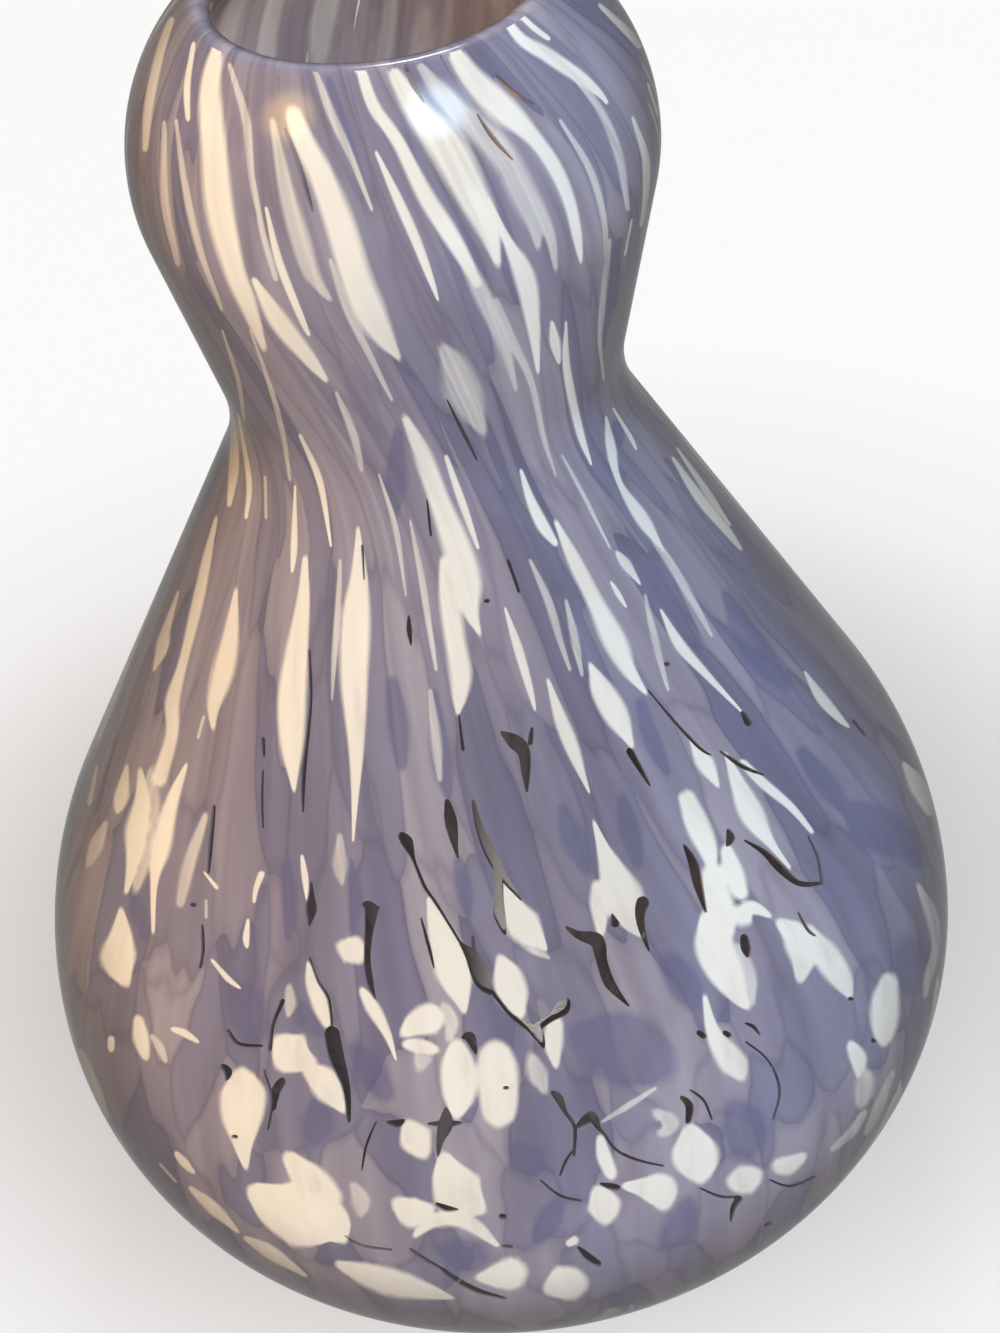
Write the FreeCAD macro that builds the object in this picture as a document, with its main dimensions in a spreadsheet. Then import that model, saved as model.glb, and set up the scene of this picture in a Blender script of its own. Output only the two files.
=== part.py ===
import FreeCAD
import Part
import Sketcher

import bisect
import math
import os

# Double gourd vase of blown spatter glass, in millimetres. +Z is up, the Z axis is the vase's axis
# and the origin is the middle of its foot. The wall has three layers: a clear gather round the
# hollow, flakes of coloured glass picked up on it, and a clear casing over them. The outline is a
# chain of arcs and straight runs, each tangent to the next: heel, lower belly, upper belly, flank,
# waist, throat, lower bulb, upper bulb and rounded lip. Every layer follows it at its own depth.

SIZES = {
    # Outline of the outer surface.
    "belly_radius": 61.0,
    "belly_height": 44.0,
    "upper_belly_curve": 58.0,
    "foot_inset": 35.0,
    "heel_radius": 8.0,
    "waist_radius": 24.5,
    "waist_rise": 88.5,
    "waist_curve": 18.0,
    "bulb_radius": 31.5,
    "bulb_rise": 32.5,
    "lower_bulb_curve": 25.0,
    "rim_rise": 21.5,
    "mouth_radius": 18.5,
    # Layers of the wall and the floor.
    "casing_thickness": 1.3,
    "chip_layer": 1.0,
    "gather_thickness": 1.3,
    "lip_depth": 5.0,
    "casing_floor_thickness": 5.0,
    "gather_floor_thickness": 4.0,
    "floor_fillet": 6.0,
    # Flat ring of the foot, and the ground hollow inside it where the iron was broken off.
    "foot_ring_width": 10.0,
    "pontil_depth": 2.2,
    # Chips, as they lie round the belly. The twist is the length of neck in one full turn.
    "chip_length": 24.0,
    "chip_width": 11.5,
    "chip_gap": 1.0,
    "chip_clearance": 0.15,
    "chip_tip": 0.3,
    "twist_length": 580.0,
}

# Sizes that follow from the others. The lower belly is the one arc that leaves the belly upright
# and runs into the heel. The upper bulb is the one that leaves the bulb upright and runs into the lip.
RULES = {
    "wall": "sizes.casing_thickness + sizes.chip_layer + sizes.gather_thickness",
    "waist_height": "sizes.belly_height + sizes.waist_rise",
    "bulb_height": "waist_height + sizes.bulb_rise",
    "rim_height": "bulb_height + sizes.rim_rise",
    "lip_radius": "wall / 2",
    "lip_centre_height": "rim_height - lip_radius",
    "lip_foot": "rim_height - sizes.lip_depth",
    "hollow_floor": "sizes.casing_floor_thickness + sizes.gather_floor_thickness",
    "waist_centre": "sizes.waist_radius + sizes.waist_curve",
    "foot_radius": "sizes.belly_radius - sizes.foot_inset",
    "pontil_radius": "foot_radius - sizes.foot_ring_width",
    "lower_belly_curve": (
        "(sizes.foot_inset^2 + (sizes.belly_height - sizes.heel_radius)^2 - sizes.heel_radius^2)"
        " / (2 * (sizes.foot_inset - sizes.heel_radius))"),
    "lip_inset": "sizes.bulb_radius - sizes.mouth_radius - lip_radius",
    "lip_rise": "sizes.rim_rise - lip_radius",
    "upper_bulb_curve": (
        "(lip_inset^2 + lip_rise^2 - lip_radius^2) / (2 * (lip_inset - lip_radius))"),
    "chip_depth": "sizes.casing_thickness + sizes.chip_layer / 2",
    "chip_half_body": "sizes.chip_layer / 2 - sizes.chip_clearance",
    "chip_foot": "sizes.casing_floor_thickness + sizes.chip_layer / 2",
}

# The faces of the layers, each at its depth under the outer surface.
FACES = {
    "outside": "0",
    "casing_inside": "sizes.casing_thickness",
    "gather_outside": "sizes.casing_thickness + sizes.chip_layer",
    "hollow": "wall",
}
for face, depth in FACES.items():
    RULES[f"{face}_depth"] = depth
    RULES[f"{face}_belly"] = f"sizes.belly_radius - {face}_depth"
    RULES[f"{face}_bulb"] = f"sizes.bulb_radius - {face}_depth"
    RULES[f"{face}_lower_belly_curve"] = f"lower_belly_curve - {face}_depth"
    RULES[f"{face}_upper_belly_curve"] = f"sizes.upper_belly_curve - {face}_depth"
    RULES[f"{face}_waist_curve"] = f"sizes.waist_curve + {face}_depth"
    RULES[f"{face}_lower_bulb_curve"] = f"sizes.lower_bulb_curve - {face}_depth"
    RULES[f"{face}_upper_bulb_curve"] = f"upper_bulb_curve - {face}_depth"

document = FreeCAD.newDocument("double_gourd_vase")
sheet = document.addObject("Spreadsheet::Sheet", "sizes")
for row, (name, number) in enumerate(SIZES.items(), start=1):
    sheet.set(f"A{row}", name)
    sheet.set(f"B{row}", str(number))
    sheet.setAlias(f"B{row}", name)
document.recompute()
derived = document.addObject("App::VarSet", "derived")
for name, rule in RULES.items():
    derived.addProperty("App::PropertyFloat", name, "Derived")
    derived.setExpression(name, rule)
document.recompute()


def value(name):
    """The number of a size in the sheet or of one that follows from the sheet."""
    return getattr(derived if name in RULES else sheet, name)


# A sketch's numbers for the start, end and centre of a line, and for its own axes and origin.
START_INDEX, END_INDEX, CENTRE_INDEX = 1, 2, 3
FLOOR_INDEX, AXIS_INDEX, ORIGIN_INDEX = -1, -2, (-1, 1)

# Outward directions in the section, as angles.
DOWN, OUT, UP = -math.pi / 2, 0, math.pi / 2

# The outline's climb is summed in this many steps, and a height is searched in this many halvings.
FLOW_STEPS = 400
HALVINGS = 40

COLOURS = ("lavender", "white", "lavender", "violet", "lavender", "lavender", "white", "lavender")
ROW_SHIFT_STEPS = 3

# Two chips side by side from rows that reach into each other are together this many widths wide.
CROWD_SHARE = 1.5
WIDTH_LOSS_SHARE = 0.16
LENGTH_LOSS_SHARE = 0.14
SAG_SHARE = 0.6
GOLDEN_SHARE = 0.6180339887


def on_arc(centre, radius, angle):
    return (centre[0] + radius * math.cos(angle), centre[1] + radius * math.sin(angle))


def straight_angle(convex_centre, convex_radius, waist_centre, waist_radius, side):
    """Outward angle of the straight run between a convex arc and the hollow arc of the waist."""
    across = waist_centre[0] - convex_centre[0]
    up = waist_centre[1] - convex_centre[1]
    turn = math.acos((convex_radius + waist_radius) / math.hypot(across, up))
    return math.atan2(up, across) - side * turn


class Wall:
    """The centres, ends and angles of the outline at the depth of one face."""

    def __init__(self, face):
        def curve(part):
            return value(f"{face}_{part}_curve")

        belly, bulb = value(f"{face}_belly"), value(f"{face}_bulb")
        self.curve = curve
        self.lower_belly = (belly - curve("lower_belly"), value("belly_height"))
        self.upper_belly = (belly - curve("upper_belly"), value("belly_height"))
        self.waist = (value("waist_centre"), value("waist_height"))
        self.lower_bulb = (bulb - curve("lower_bulb"), value("bulb_height"))
        self.upper_bulb = (bulb - curve("upper_bulb"), value("bulb_height"))
        self.flank_angle = straight_angle(
            self.upper_belly, curve("upper_belly"), self.waist, curve("waist"), 1)
        self.throat_angle = straight_angle(
            self.lower_bulb, curve("lower_bulb"), self.waist, curve("waist"), -1)
        self.flank = (
            on_arc(self.upper_belly, curve("upper_belly"), self.flank_angle),
            on_arc(self.waist, curve("waist"), self.flank_angle + math.pi))
        self.throat = (
            on_arc(self.waist, curve("waist"), self.throat_angle + math.pi),
            on_arc(self.lower_bulb, curve("lower_bulb"), self.throat_angle))
        self.heel = (value("foot_radius"), value("heel_radius"))
        self.heel_angle = math.atan2(
            self.heel[1] - self.lower_belly[1], self.heel[0] - self.lower_belly[0])
        self.lip = (value("mouth_radius") + value("lip_radius"), value("lip_centre_height"))
        self.lip_angle = math.atan2(self.lip[1] - self.upper_bulb[1], self.lip[0] - self.upper_bulb[0])

    def belly_angle(self, height):
        """Outward angle of the lower belly at a height."""
        return math.asin((height - self.lower_belly[1]) / self.curve("lower_belly"))

    def bulb_angle(self, height):
        """Outward angle of the upper bulb at a height."""
        return math.asin((height - self.upper_bulb[1]) / self.curve("upper_bulb"))

    def foot_end(self, height):
        """Radius of the lower belly at a height."""
        return on_arc(self.lower_belly, self.curve("lower_belly"), self.belly_angle(height))[0]

    def rim_end(self, height):
        """Radius of the upper bulb at a height."""
        return on_arc(self.upper_bulb, self.curve("upper_bulb"), self.bulb_angle(height))[0]


def tie(sketch, *constraint):
    return sketch.addConstraint(Sketcher.Constraint(*constraint))


def bind(sketch, name, *constraint):
    """Adds a dimension to a sketch and binds it to the size of that name."""
    index = tie(sketch, *constraint, value(name))
    owner = "derived" if name in RULES else "sizes"
    sketch.setExpression(f"Constraints[{index}]", f"{owner}.{name}")


def add_line(sketch, start, end):
    return sketch.addGeometry(Part.LineSegment(
        FreeCAD.Vector(start[0], start[1], 0), FreeCAD.Vector(end[0], end[1], 0)), False)


def add_arc(sketch, centre, radius, low, high):
    circle = Part.Circle(FreeCAD.Vector(centre[0], centre[1], 0), FreeCAD.Vector(0, 0, 1), radius)
    return sketch.addGeometry(Part.ArcOfCircle(circle, low, high), False)


def draw_wall(sketch, face, foot_angle, rim_angle):
    """Draws the seven lines of one face, bottom to top, and returns the lowest and the highest."""
    wall = Wall(face)
    lower_belly = add_arc(sketch, wall.lower_belly, wall.curve("lower_belly"), foot_angle, OUT)
    upper_belly = add_arc(sketch, wall.upper_belly, wall.curve("upper_belly"), OUT, wall.flank_angle)
    flank = add_line(sketch, *wall.flank)
    waist = add_arc(
        sketch, wall.waist, wall.curve("waist"), math.pi + wall.throat_angle, math.pi + wall.flank_angle)
    throat = add_line(sketch, *wall.throat)
    lower_bulb = add_arc(sketch, wall.lower_bulb, wall.curve("lower_bulb"), wall.throat_angle, OUT)
    upper_bulb = add_arc(sketch, wall.upper_bulb, wall.curve("upper_bulb"), OUT, rim_angle)
    upwards, downwards = (START_INDEX, END_INDEX), (END_INDEX, START_INDEX)
    climb = [
        (lower_belly, *upwards), (upper_belly, *upwards), (flank, *upwards), (waist, *downwards),
        (throat, *upwards), (lower_bulb, *upwards), (upper_bulb, *upwards)]
    for (below, _, top), (above, bottom, _) in zip(climb, climb[1:]):
        tie(sketch, "Tangent", below, top, above, bottom)
    for part, arc, height in (
            ("lower_belly", lower_belly, "belly_height"), ("upper_belly", upper_belly, "belly_height"),
            ("waist", waist, "waist_height"),
            ("lower_bulb", lower_bulb, "bulb_height"), ("upper_bulb", upper_bulb, "bulb_height")):
        bind(sketch, f"{face}_{part}_curve", "Radius", arc)
        bind(sketch, height, "DistanceY", *ORIGIN_INDEX, arc, CENTRE_INDEX)
    bind(sketch, f"{face}_belly", "DistanceX", *ORIGIN_INDEX, lower_belly, END_INDEX)
    bind(sketch, "waist_centre", "DistanceX", *ORIGIN_INDEX, waist, CENTRE_INDEX)
    bind(sketch, f"{face}_bulb", "DistanceX", *ORIGIN_INDEX, lower_bulb, END_INDEX)
    return lower_belly, upper_bulb


def draw_shelf(sketch, height, start_radius, start, end_radius, end):
    """Draws the level line at a height between the ends of two lines."""
    shelf = add_line(sketch, (start_radius, value(height)), (end_radius, value(height)))
    tie(sketch, "Horizontal", shelf)
    tie(sketch, "Coincident", shelf, START_INDEX, *start)
    tie(sketch, "Coincident", shelf, END_INDEX, *end)
    bind(sketch, height, "DistanceY", *ORIGIN_INDEX, shelf, START_INDEX)


def draw_floor(sketch, height, radius, wall_line):
    """Draws the level line at a height from the axis to the foot of a wall's line."""
    floor = add_line(sketch, (0, value(height)), (radius, value(height)))
    tie(sketch, "Horizontal", floor)
    tie(sketch, "PointOnObject", floor, START_INDEX, AXIS_INDEX)
    tie(sketch, "Coincident", floor, END_INDEX, wall_line, START_INDEX)
    bind(sketch, height, "DistanceY", *ORIGIN_INDEX, floor, START_INDEX)
    return floor


def draw_axis(sketch, floor, floor_height, end_height):
    """Draws the line on the axis from the middle of a floor to another height."""
    axis = add_line(sketch, (0, value(floor_height)), (0, value(end_height)))
    tie(sketch, "Vertical", axis)
    tie(sketch, "Coincident", axis, START_INDEX, floor, START_INDEX)
    bind(sketch, end_height, "DistanceY", *ORIGIN_INDEX, axis, END_INDEX)
    return axis


def new_body(name):
    """Makes a body with an empty sketch for its section."""
    body = document.addObject("PartDesign::Body", name)
    body.Label = name
    sketch = body.newObject("Sketcher::SketchObject", f"{name}_section")
    plane = next(item for item in body.Origin.OriginFeatures if item.Role == "XZ_Plane")
    sketch.AttachmentSupport = [(plane, "")]
    sketch.MapMode = "FlatFace"
    return body, sketch


def turn(body, sketch):
    """Turns a body's section once round the vase's axis."""
    turned = body.newObject("PartDesign::Revolution", f"{body.Name}_turned")
    turned.Profile = sketch
    turned.ReferenceAxis = (sketch, ["V_Axis"])
    turned.Angle = 360


def outer_casing():
    """The last gather of clear glass: the whole outside, the lip, the foot and its ground hollow."""
    body, sketch = new_body("outer_casing")
    outer, inner, hollow = Wall("outside"), Wall("casing_inside"), Wall("hollow")
    lip_foot, floor_height = value("lip_foot"), value("casing_floor_thickness")
    outer_belly, outer_bulb = draw_wall(sketch, "outside", outer.heel_angle, outer.lip_angle)
    inner_belly, inner_bulb = draw_wall(
        sketch, "casing_inside", inner.belly_angle(floor_height), inner.bulb_angle(lip_foot))

    heel = add_arc(sketch, outer.heel, value("heel_radius"), DOWN, outer.heel_angle)
    tie(sketch, "Tangent", heel, END_INDEX, outer_belly, START_INDEX)
    bind(sketch, "heel_radius", "Radius", heel)
    foot = add_line(sketch, (value("pontil_radius"), 0), (value("foot_radius"), 0))
    tie(sketch, "Horizontal", foot)
    tie(sketch, "PointOnObject", foot, START_INDEX, FLOOR_INDEX)
    tie(sketch, "Tangent", foot, END_INDEX, heel, START_INDEX)
    bind(sketch, "pontil_radius", "DistanceX", *ORIGIN_INDEX, foot, START_INDEX)

    lip = add_arc(sketch, outer.lip, value("lip_radius"), outer.lip_angle, outer.lip_angle + math.pi)
    tie(sketch, "Tangent", outer_bulb, END_INDEX, lip, START_INDEX)
    bind(sketch, "lip_centre_height", "DistanceY", *ORIGIN_INDEX, lip, CENTRE_INDEX)
    bind(sketch, "lip_radius", "Radius", lip)
    throat = add_arc(
        sketch, hollow.upper_bulb, hollow.curve("upper_bulb"), hollow.bulb_angle(lip_foot), outer.lip_angle)
    tie(sketch, "Coincident", throat, CENTRE_INDEX, outer_bulb, CENTRE_INDEX)
    tie(sketch, "Tangent", lip, END_INDEX, throat, END_INDEX)
    draw_shelf(
        sketch, "lip_foot", hollow.rim_end(lip_foot), (throat, START_INDEX),
        inner.rim_end(lip_foot), (inner_bulb, END_INDEX))

    floor = draw_floor(sketch, "casing_floor_thickness", inner.foot_end(floor_height), inner_belly)
    axis = draw_axis(sketch, floor, "casing_floor_thickness", "pontil_depth")
    rim, depth = value("pontil_radius"), value("pontil_depth")
    dome = (rim ** 2 + depth ** 2) / (2 * depth)
    pontil = add_arc(sketch, (0, depth - dome), dome, math.asin((dome - depth) / dome), UP)
    tie(sketch, "Coincident", pontil, START_INDEX, foot, START_INDEX)
    tie(sketch, "Coincident", pontil, END_INDEX, axis, END_INDEX)
    tie(sketch, "PointOnObject", pontil, CENTRE_INDEX, AXIS_INDEX)
    turn(body, sketch)
    return body


def inner_gather():
    """The first gather of clear glass: the wall round the hollow and the upper half of the floor.

    It rests on the casing's floor, and its top ends under the casing's lip."""
    body, sketch = new_body("inner_gather")
    outer, inner = Wall("gather_outside"), Wall("hollow")
    lip_foot, fillet = value("lip_foot"), value("floor_fillet")
    bottom_height, floor_height = value("casing_floor_thickness"), value("hollow_floor")
    reach = inner.curve("lower_belly") - fillet
    drop = inner.lower_belly[1] - floor_height - fillet
    fillet_angle = -math.asin(drop / reach)
    fillet_centre = on_arc(inner.lower_belly, reach, fillet_angle)
    outer_belly, outer_bulb = draw_wall(
        sketch, "gather_outside", outer.belly_angle(bottom_height), outer.bulb_angle(lip_foot))
    inner_belly, inner_bulb = draw_wall(sketch, "hollow", fillet_angle, inner.bulb_angle(lip_foot))
    draw_shelf(
        sketch, "lip_foot", inner.rim_end(lip_foot), (inner_bulb, END_INDEX),
        outer.rim_end(lip_foot), (outer_bulb, END_INDEX))

    bottom = draw_floor(sketch, "casing_floor_thickness", outer.foot_end(bottom_height), outer_belly)
    axis = draw_axis(sketch, bottom, "casing_floor_thickness", "hollow_floor")
    floor = add_line(sketch, (0, floor_height), (fillet_centre[0], floor_height))
    tie(sketch, "Horizontal", floor)
    tie(sketch, "Coincident", floor, START_INDEX, axis, END_INDEX)
    corner = add_arc(sketch, fillet_centre, fillet, DOWN, fillet_angle)
    tie(sketch, "Tangent", floor, END_INDEX, corner, START_INDEX)
    tie(sketch, "Tangent", corner, END_INDEX, inner_belly, START_INDEX)
    bind(sketch, "floor_fillet", "Radius", corner)
    turn(body, sketch)
    return body


class Arc:
    """A round stretch of the outline, from one outward angle to the next as it climbs."""

    def __init__(self, centre, radius, low, high, outward=1):
        self.centre = centre
        self.radius = radius
        self.low = low
        self.high = high
        self.outward = outward
        self.length = radius * abs(high - low)

    def at(self, distance):
        """The place and the outward direction at a distance along the stretch."""
        angle = self.low + (self.high - self.low) * distance / self.length
        direction = (math.cos(angle) * self.outward, math.sin(angle) * self.outward)
        return on_arc(self.centre, self.radius, angle), direction

    def span(self, sag):
        """The longest chord that leaves the arc by no more than the sag."""
        return math.sqrt(8 * self.radius * sag)


class Run:
    """A straight stretch of the outline."""

    def __init__(self, bottom, top, outward_angle):
        self.bottom = bottom
        self.top = top
        self.direction = (math.cos(outward_angle), math.sin(outward_angle))
        self.length = math.dist(bottom, top)

    def at(self, distance):
        """The place and the outward direction at a distance along the stretch."""
        share = distance / self.length
        place = tuple(low + (high - low) * share for low, high in zip(self.bottom, self.top))
        return place, self.direction

    def span(self, sag):
        """A straight run has no sag, but the twist bends a chip on it, so half a chip is enough."""
        return value("chip_length") / 2


class Outline:
    """The outline as one path from the heel to the lip, in the zones that the chips are sorted by."""

    def __init__(self):
        wall = Wall("outside")
        self.stretches = [
            ("belly", Arc(wall.lower_belly, wall.curve("lower_belly"), wall.heel_angle, OUT)),
            ("belly", Arc(wall.upper_belly, wall.curve("upper_belly"), OUT, wall.flank_angle)),
            ("shoulder", Run(*wall.flank, wall.flank_angle)),
            ("neck", Arc(
                wall.waist, wall.curve("waist"), math.pi + wall.flank_angle,
                math.pi + wall.throat_angle, outward=-1)),
            ("neck", Run(*wall.throat, wall.throat_angle)),
            ("neck", Arc(wall.lower_bulb, wall.curve("lower_bulb"), wall.throat_angle, OUT)),
            ("neck", Arc(wall.upper_bulb, wall.curve("upper_bulb"), OUT, wall.lip_angle))]
        self.ends = [0]
        for _, stretch in self.stretches:
            self.ends.append(self.ends[-1] + stretch.length)

    def index(self, distance):
        """Which stretch a distance along the outline falls in."""
        return min(max(bisect.bisect_right(self.ends, distance) - 1, 0), len(self.stretches) - 1)

    def zone(self, distance):
        return self.stretches[self.index(distance)][0]

    def at(self, distance, depth):
        """Radius and height at a distance along the outline and a depth under it."""
        index = self.index(distance)
        place, outward = self.stretches[index][1].at(distance - self.ends[index])
        return tuple(along - depth * way for along, way in zip(place, outward))

    def distance_at_height(self, height, depth):
        """How far along the outline the layer at a depth reaches a height."""
        low, high = self.ends[0], self.ends[-1]
        for _ in range(HALVINGS):
            middle = (low + high) / 2
            if self.at(middle, depth)[1] < height:
                low = middle
            else:
                high = middle
        return low

    def cuts(self, low, high, sag):
        """Distances from low to high, so close that no chord between two of them sags further."""
        places = [low]
        for index, (_, stretch) in enumerate(self.stretches):
            start, end = max(self.ends[index], low), min(self.ends[index + 1], high)
            if start < end:
                count = math.ceil((end - start) / stretch.span(sag))
                places += [start + (end - start) * step / count for step in range(1, count + 1)]
        return places


def look_up(keys, numbers, key):
    """The number that belongs to a key, in proportion between the two keys beside it."""
    index = min(max(bisect.bisect_right(keys, key) - 1, 0), len(keys) - 2)
    share = (key - keys[index]) / (keys[index + 1] - keys[index])
    return numbers[index] + share * (numbers[index + 1] - numbers[index])


class DrawnGlass:
    """How far the glass was drawn out and twisted along the outline.

    A chip keeps its area while the wall narrows, so it grows as long as it grows thin. The thinner
    the neck was drawn, the further it was twisted."""

    def __init__(self, outline):
        belly, waist = value("belly_radius"), value("waist_radius")
        foot = outline.distance_at_height(value("chip_foot"), value("chip_depth"))
        top = outline.distance_at_height(value("lip_foot"), value("chip_depth"))
        step = (top - foot) / FLOW_STEPS
        self.distances, self.undrawn, self.twists = [foot], [0], [0]
        for index in range(FLOW_STEPS):
            radius = outline.at(foot + (index + 1 / 2) * step, value("chip_depth"))[0]
            thinned = (belly - radius) / (belly - waist)
            self.distances.append(foot + (index + 1) * step)
            self.undrawn.append(self.undrawn[-1] + step * radius / belly)
            self.twists.append(self.twists[-1] + 2 * math.pi * step / value("twist_length") * thinned ** 2)

    def distance(self, undrawn):
        """Distance along the outline of a place that is given as a length on the undrawn bubble."""
        return look_up(self.undrawn, self.distances, undrawn)

    def twist(self, distance):
        return look_up(self.distances, self.twists, distance)


def facets(sections):
    """A closed solid of flat facets through sections that have the same number of corners."""
    corners = len(sections[0])
    faces = []

    def add(*points):
        faces.append(Part.Face(Part.makePolygon([*points, points[0]])))

    for below, above in zip(sections, sections[1:]):
        for index in range(corners):
            following = (index + 1) % corners
            add(below[index], below[following], above[following])
            add(below[index], above[following], above[index])
    for end in (sections[0], sections[-1]):
        for index in range(1, corners - 1):
            add(end[0], end[index], end[index + 1])
    shell = Part.makeShell(faces)
    shell.sewShape()
    solid = Part.makeSolid(shell)
    if solid.Volume < 0:
        solid.reverse()
    return solid


def chip(outline, glass, undrawn, turned, length, width):
    """One flake between casing and gather: widest and thickest in the middle, thin at its tips.

    Its sections have an edge on each side and a crest towards each layer of clear glass."""
    belly, tip, depth = value("belly_radius"), value("chip_tip"), value("chip_depth")
    low, high = glass.distance(undrawn - length / 2), glass.distance(undrawn + length / 2)
    sections = []
    for distance in outline.cuts(low, high, SAG_SHARE * value("chip_clearance")):
        taper = 1 - (2 * (distance - low) / (high - low) - 1) ** 2
        angle = turned - glass.twist(distance)
        half_width = (tip + (width - tip) * taper) / 2 / belly
        half_body = tip / 2 + (value("chip_half_body") - tip / 2) * math.sqrt(max(taper, 0))
        corners = []
        for aside, deeper in ((-half_width, 0), (0, -half_body), (half_width, 0), (0, half_body)):
            radius, height = outline.at(distance, depth + deeper)
            corners.append(FreeCAD.Vector(
                radius * math.cos(angle + aside), radius * math.sin(angle + aside), height))
        sections.append(corners)
    return facets(sections)


def scatter(number, stride):
    """A value from 0 to 1 that jumps about from one number to the next."""
    return number * stride * GOLDEN_SHARE % 1


def chip_groups():
    """All chips as solids, by the name of their colour and zone.

    They lie in rows round the wall. Each row reaches halfway into the next, where its tips lie
    between the tips of the other."""
    outline = Outline()
    glass = DrawnGlass(outline)
    length, width = value("chip_length"), value("chip_width")
    room = glass.undrawn[-1] - length
    rows = round(2 * room / length) + 1
    around = int(2 * math.pi * value("belly_radius") / (CROWD_SHARE * width + 2 * value("chip_gap")))
    groups = {}
    for row in range(rows):
        middle = length / 2 + room * row / (rows - 1)
        zone = outline.zone(glass.distance(middle))
        for column in range(around):
            number = row * around + column
            colour = COLOURS[(column + ROW_SHIFT_STEPS * row) % len(COLOURS)]
            groups.setdefault(f"{colour}_{zone}_chips", []).append(chip(
                outline, glass, middle,
                2 * math.pi / around * (column + row / 2),
                length * (1 - LENGTH_LOSS_SHARE * scatter(number, 2)),
                width * (1 - WIDTH_LOSS_SHARE * scatter(number, 1))))
    return groups


parts = [outer_casing(), inner_gather()]
for label, solids in chip_groups().items():
    group = document.addObject("Part::Feature", label)
    group.Label = label
    group.Shape = Part.makeCompound(solids)
    group.Placement = FreeCAD.Placement()
    parts.append(group)
document.recompute()

for item in document.Objects:
    if "Invalid" in item.State or "Error" in item.State:
        raise RuntimeError(f"{item.Name} failed: {item.State}")
for item in parts:
    if item.Shape.isNull() or not item.Shape.isValid():
        raise RuntimeError(f"{item.Label} has no valid shape")

os.makedirs("parts", exist_ok=True)
for item in parts:
    item.Shape.exportStep(f"parts/{item.Label}.step")
    print(f"{item.Label}: {len(item.Shape.Solids)} solids, {item.Shape.Volume:.0f} mm3")
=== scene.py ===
import math
import random
from collections import namedtuple

import bmesh
import bpy
import numpy as np
from mathutils import Matrix, Vector
from mathutils.geometry import delaunay_2d_cdt


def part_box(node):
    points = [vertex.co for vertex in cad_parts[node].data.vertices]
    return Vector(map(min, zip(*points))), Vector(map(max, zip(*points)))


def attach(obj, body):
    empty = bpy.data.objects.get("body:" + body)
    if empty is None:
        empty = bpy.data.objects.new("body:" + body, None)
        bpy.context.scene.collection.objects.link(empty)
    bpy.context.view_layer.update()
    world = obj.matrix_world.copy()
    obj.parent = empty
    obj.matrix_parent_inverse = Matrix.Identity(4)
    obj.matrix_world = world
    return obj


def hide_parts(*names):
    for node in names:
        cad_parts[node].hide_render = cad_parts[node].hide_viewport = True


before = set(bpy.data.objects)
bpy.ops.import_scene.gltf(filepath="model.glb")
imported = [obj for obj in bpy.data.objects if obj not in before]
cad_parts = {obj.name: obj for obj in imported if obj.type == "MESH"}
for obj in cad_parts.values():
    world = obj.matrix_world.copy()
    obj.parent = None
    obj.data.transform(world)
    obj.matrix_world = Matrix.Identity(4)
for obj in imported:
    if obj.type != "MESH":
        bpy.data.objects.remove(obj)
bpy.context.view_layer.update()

# Double gourd vase of blown spatter glass: flakes of lavender, violet and white glass lie between an
# inner gather and an outer casing of clear glass. Sizes are in millimetres until a mesh is made. The
# outline is the part's own: heel, lower belly, upper belly, flank, waist, throat, bulb and lip.
MM = 0.001
BELLY_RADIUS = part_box("outer_casing")[1].x / MM
RIM_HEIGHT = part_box("outer_casing")[1].z / MM
BELLY_HEIGHT = 44.0
LOWER_BELLY_CURVE = 45.5
UPPER_BELLY_CURVE = 58.0
FOOT_RADIUS = 26.0
HEEL_RADIUS = 8.0
WAIST_RADIUS = 24.5
WAIST_CURVE = 18.0
WAIST_HEIGHT = 132.5
BULB_RADIUS = 31.5
BULB_HEIGHT = 165.0
LOWER_BULB_CURVE = 25.0
UPPER_BULB_CURVE = 27.143
MOUTH_RADIUS = 18.5
WALL = 3.6
FLOOR_HEIGHT = 9.0
FLOOR_FILLET = 6.0
PONTIL_RADIUS = 16.0
PONTIL_DEPTH = 2.2

# The coloured layer: how deep it lies under the outer surface and how thick it is. It rises nearer
# to the surface at the lip and wraps over it.
LAYER_DEPTH = 1.5
LAYER_THICKNESS = 0.7
LIP_LAYER_DEPTH = 0.45
LIP_BLEND = 6.0
LIP_WRAP = math.radians(115)
# Where the glass is drawn thinnest, a full turn of its twist takes this length.
TWIST_LENGTH = 580.0

# Fineness of the meshes.
OUTLINE_STEP = 0.25
PROFILE_STEP = 1.2
TURN_STEPS = 240
LAYER_STEP = 2.2
LIP_STEP = 0.45
SHARP_ANGLE = math.radians(40)
STROKE_STEP_PIXELS = 9.0
# Points closer than this are one: in metres on the wall and on the layer, in millimetres unrolled.
WALL_MERGE, LAYER_MERGE, OUTLINE_MERGE = 1e-7, 2e-6, 1e-5
# Stands in for a length of zero where something is divided by it.
NEVER_ZERO = 1e-12

# The photograph's camera: its frame and focal length in pixels, its tilts, its distance and its aim.
FRAME_WIDTH, FRAME_HEIGHT = 1000, 1333
FOCAL_PIXELS = 3677.0
PITCH = math.radians(37.42)
ROLL = math.radians(-7.6)
DISTANCE = 480.0
AIM_RIGHT, AIM_HEIGHT = 4.3, 86.1
GLASS_IOR = 1.5

# Where along a ray the vase is looked for, and how finely. Then how far and how often a pixel beside
# the vase is moved towards it.
RAY_NEAR, RAY_FAR, RAY_STEP, RAY_HALVINGS = DISTANCE - 130, DISTANCE + 110, 3.0, 20
NUDGE_PIXELS, NUDGES = 2, 40


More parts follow.
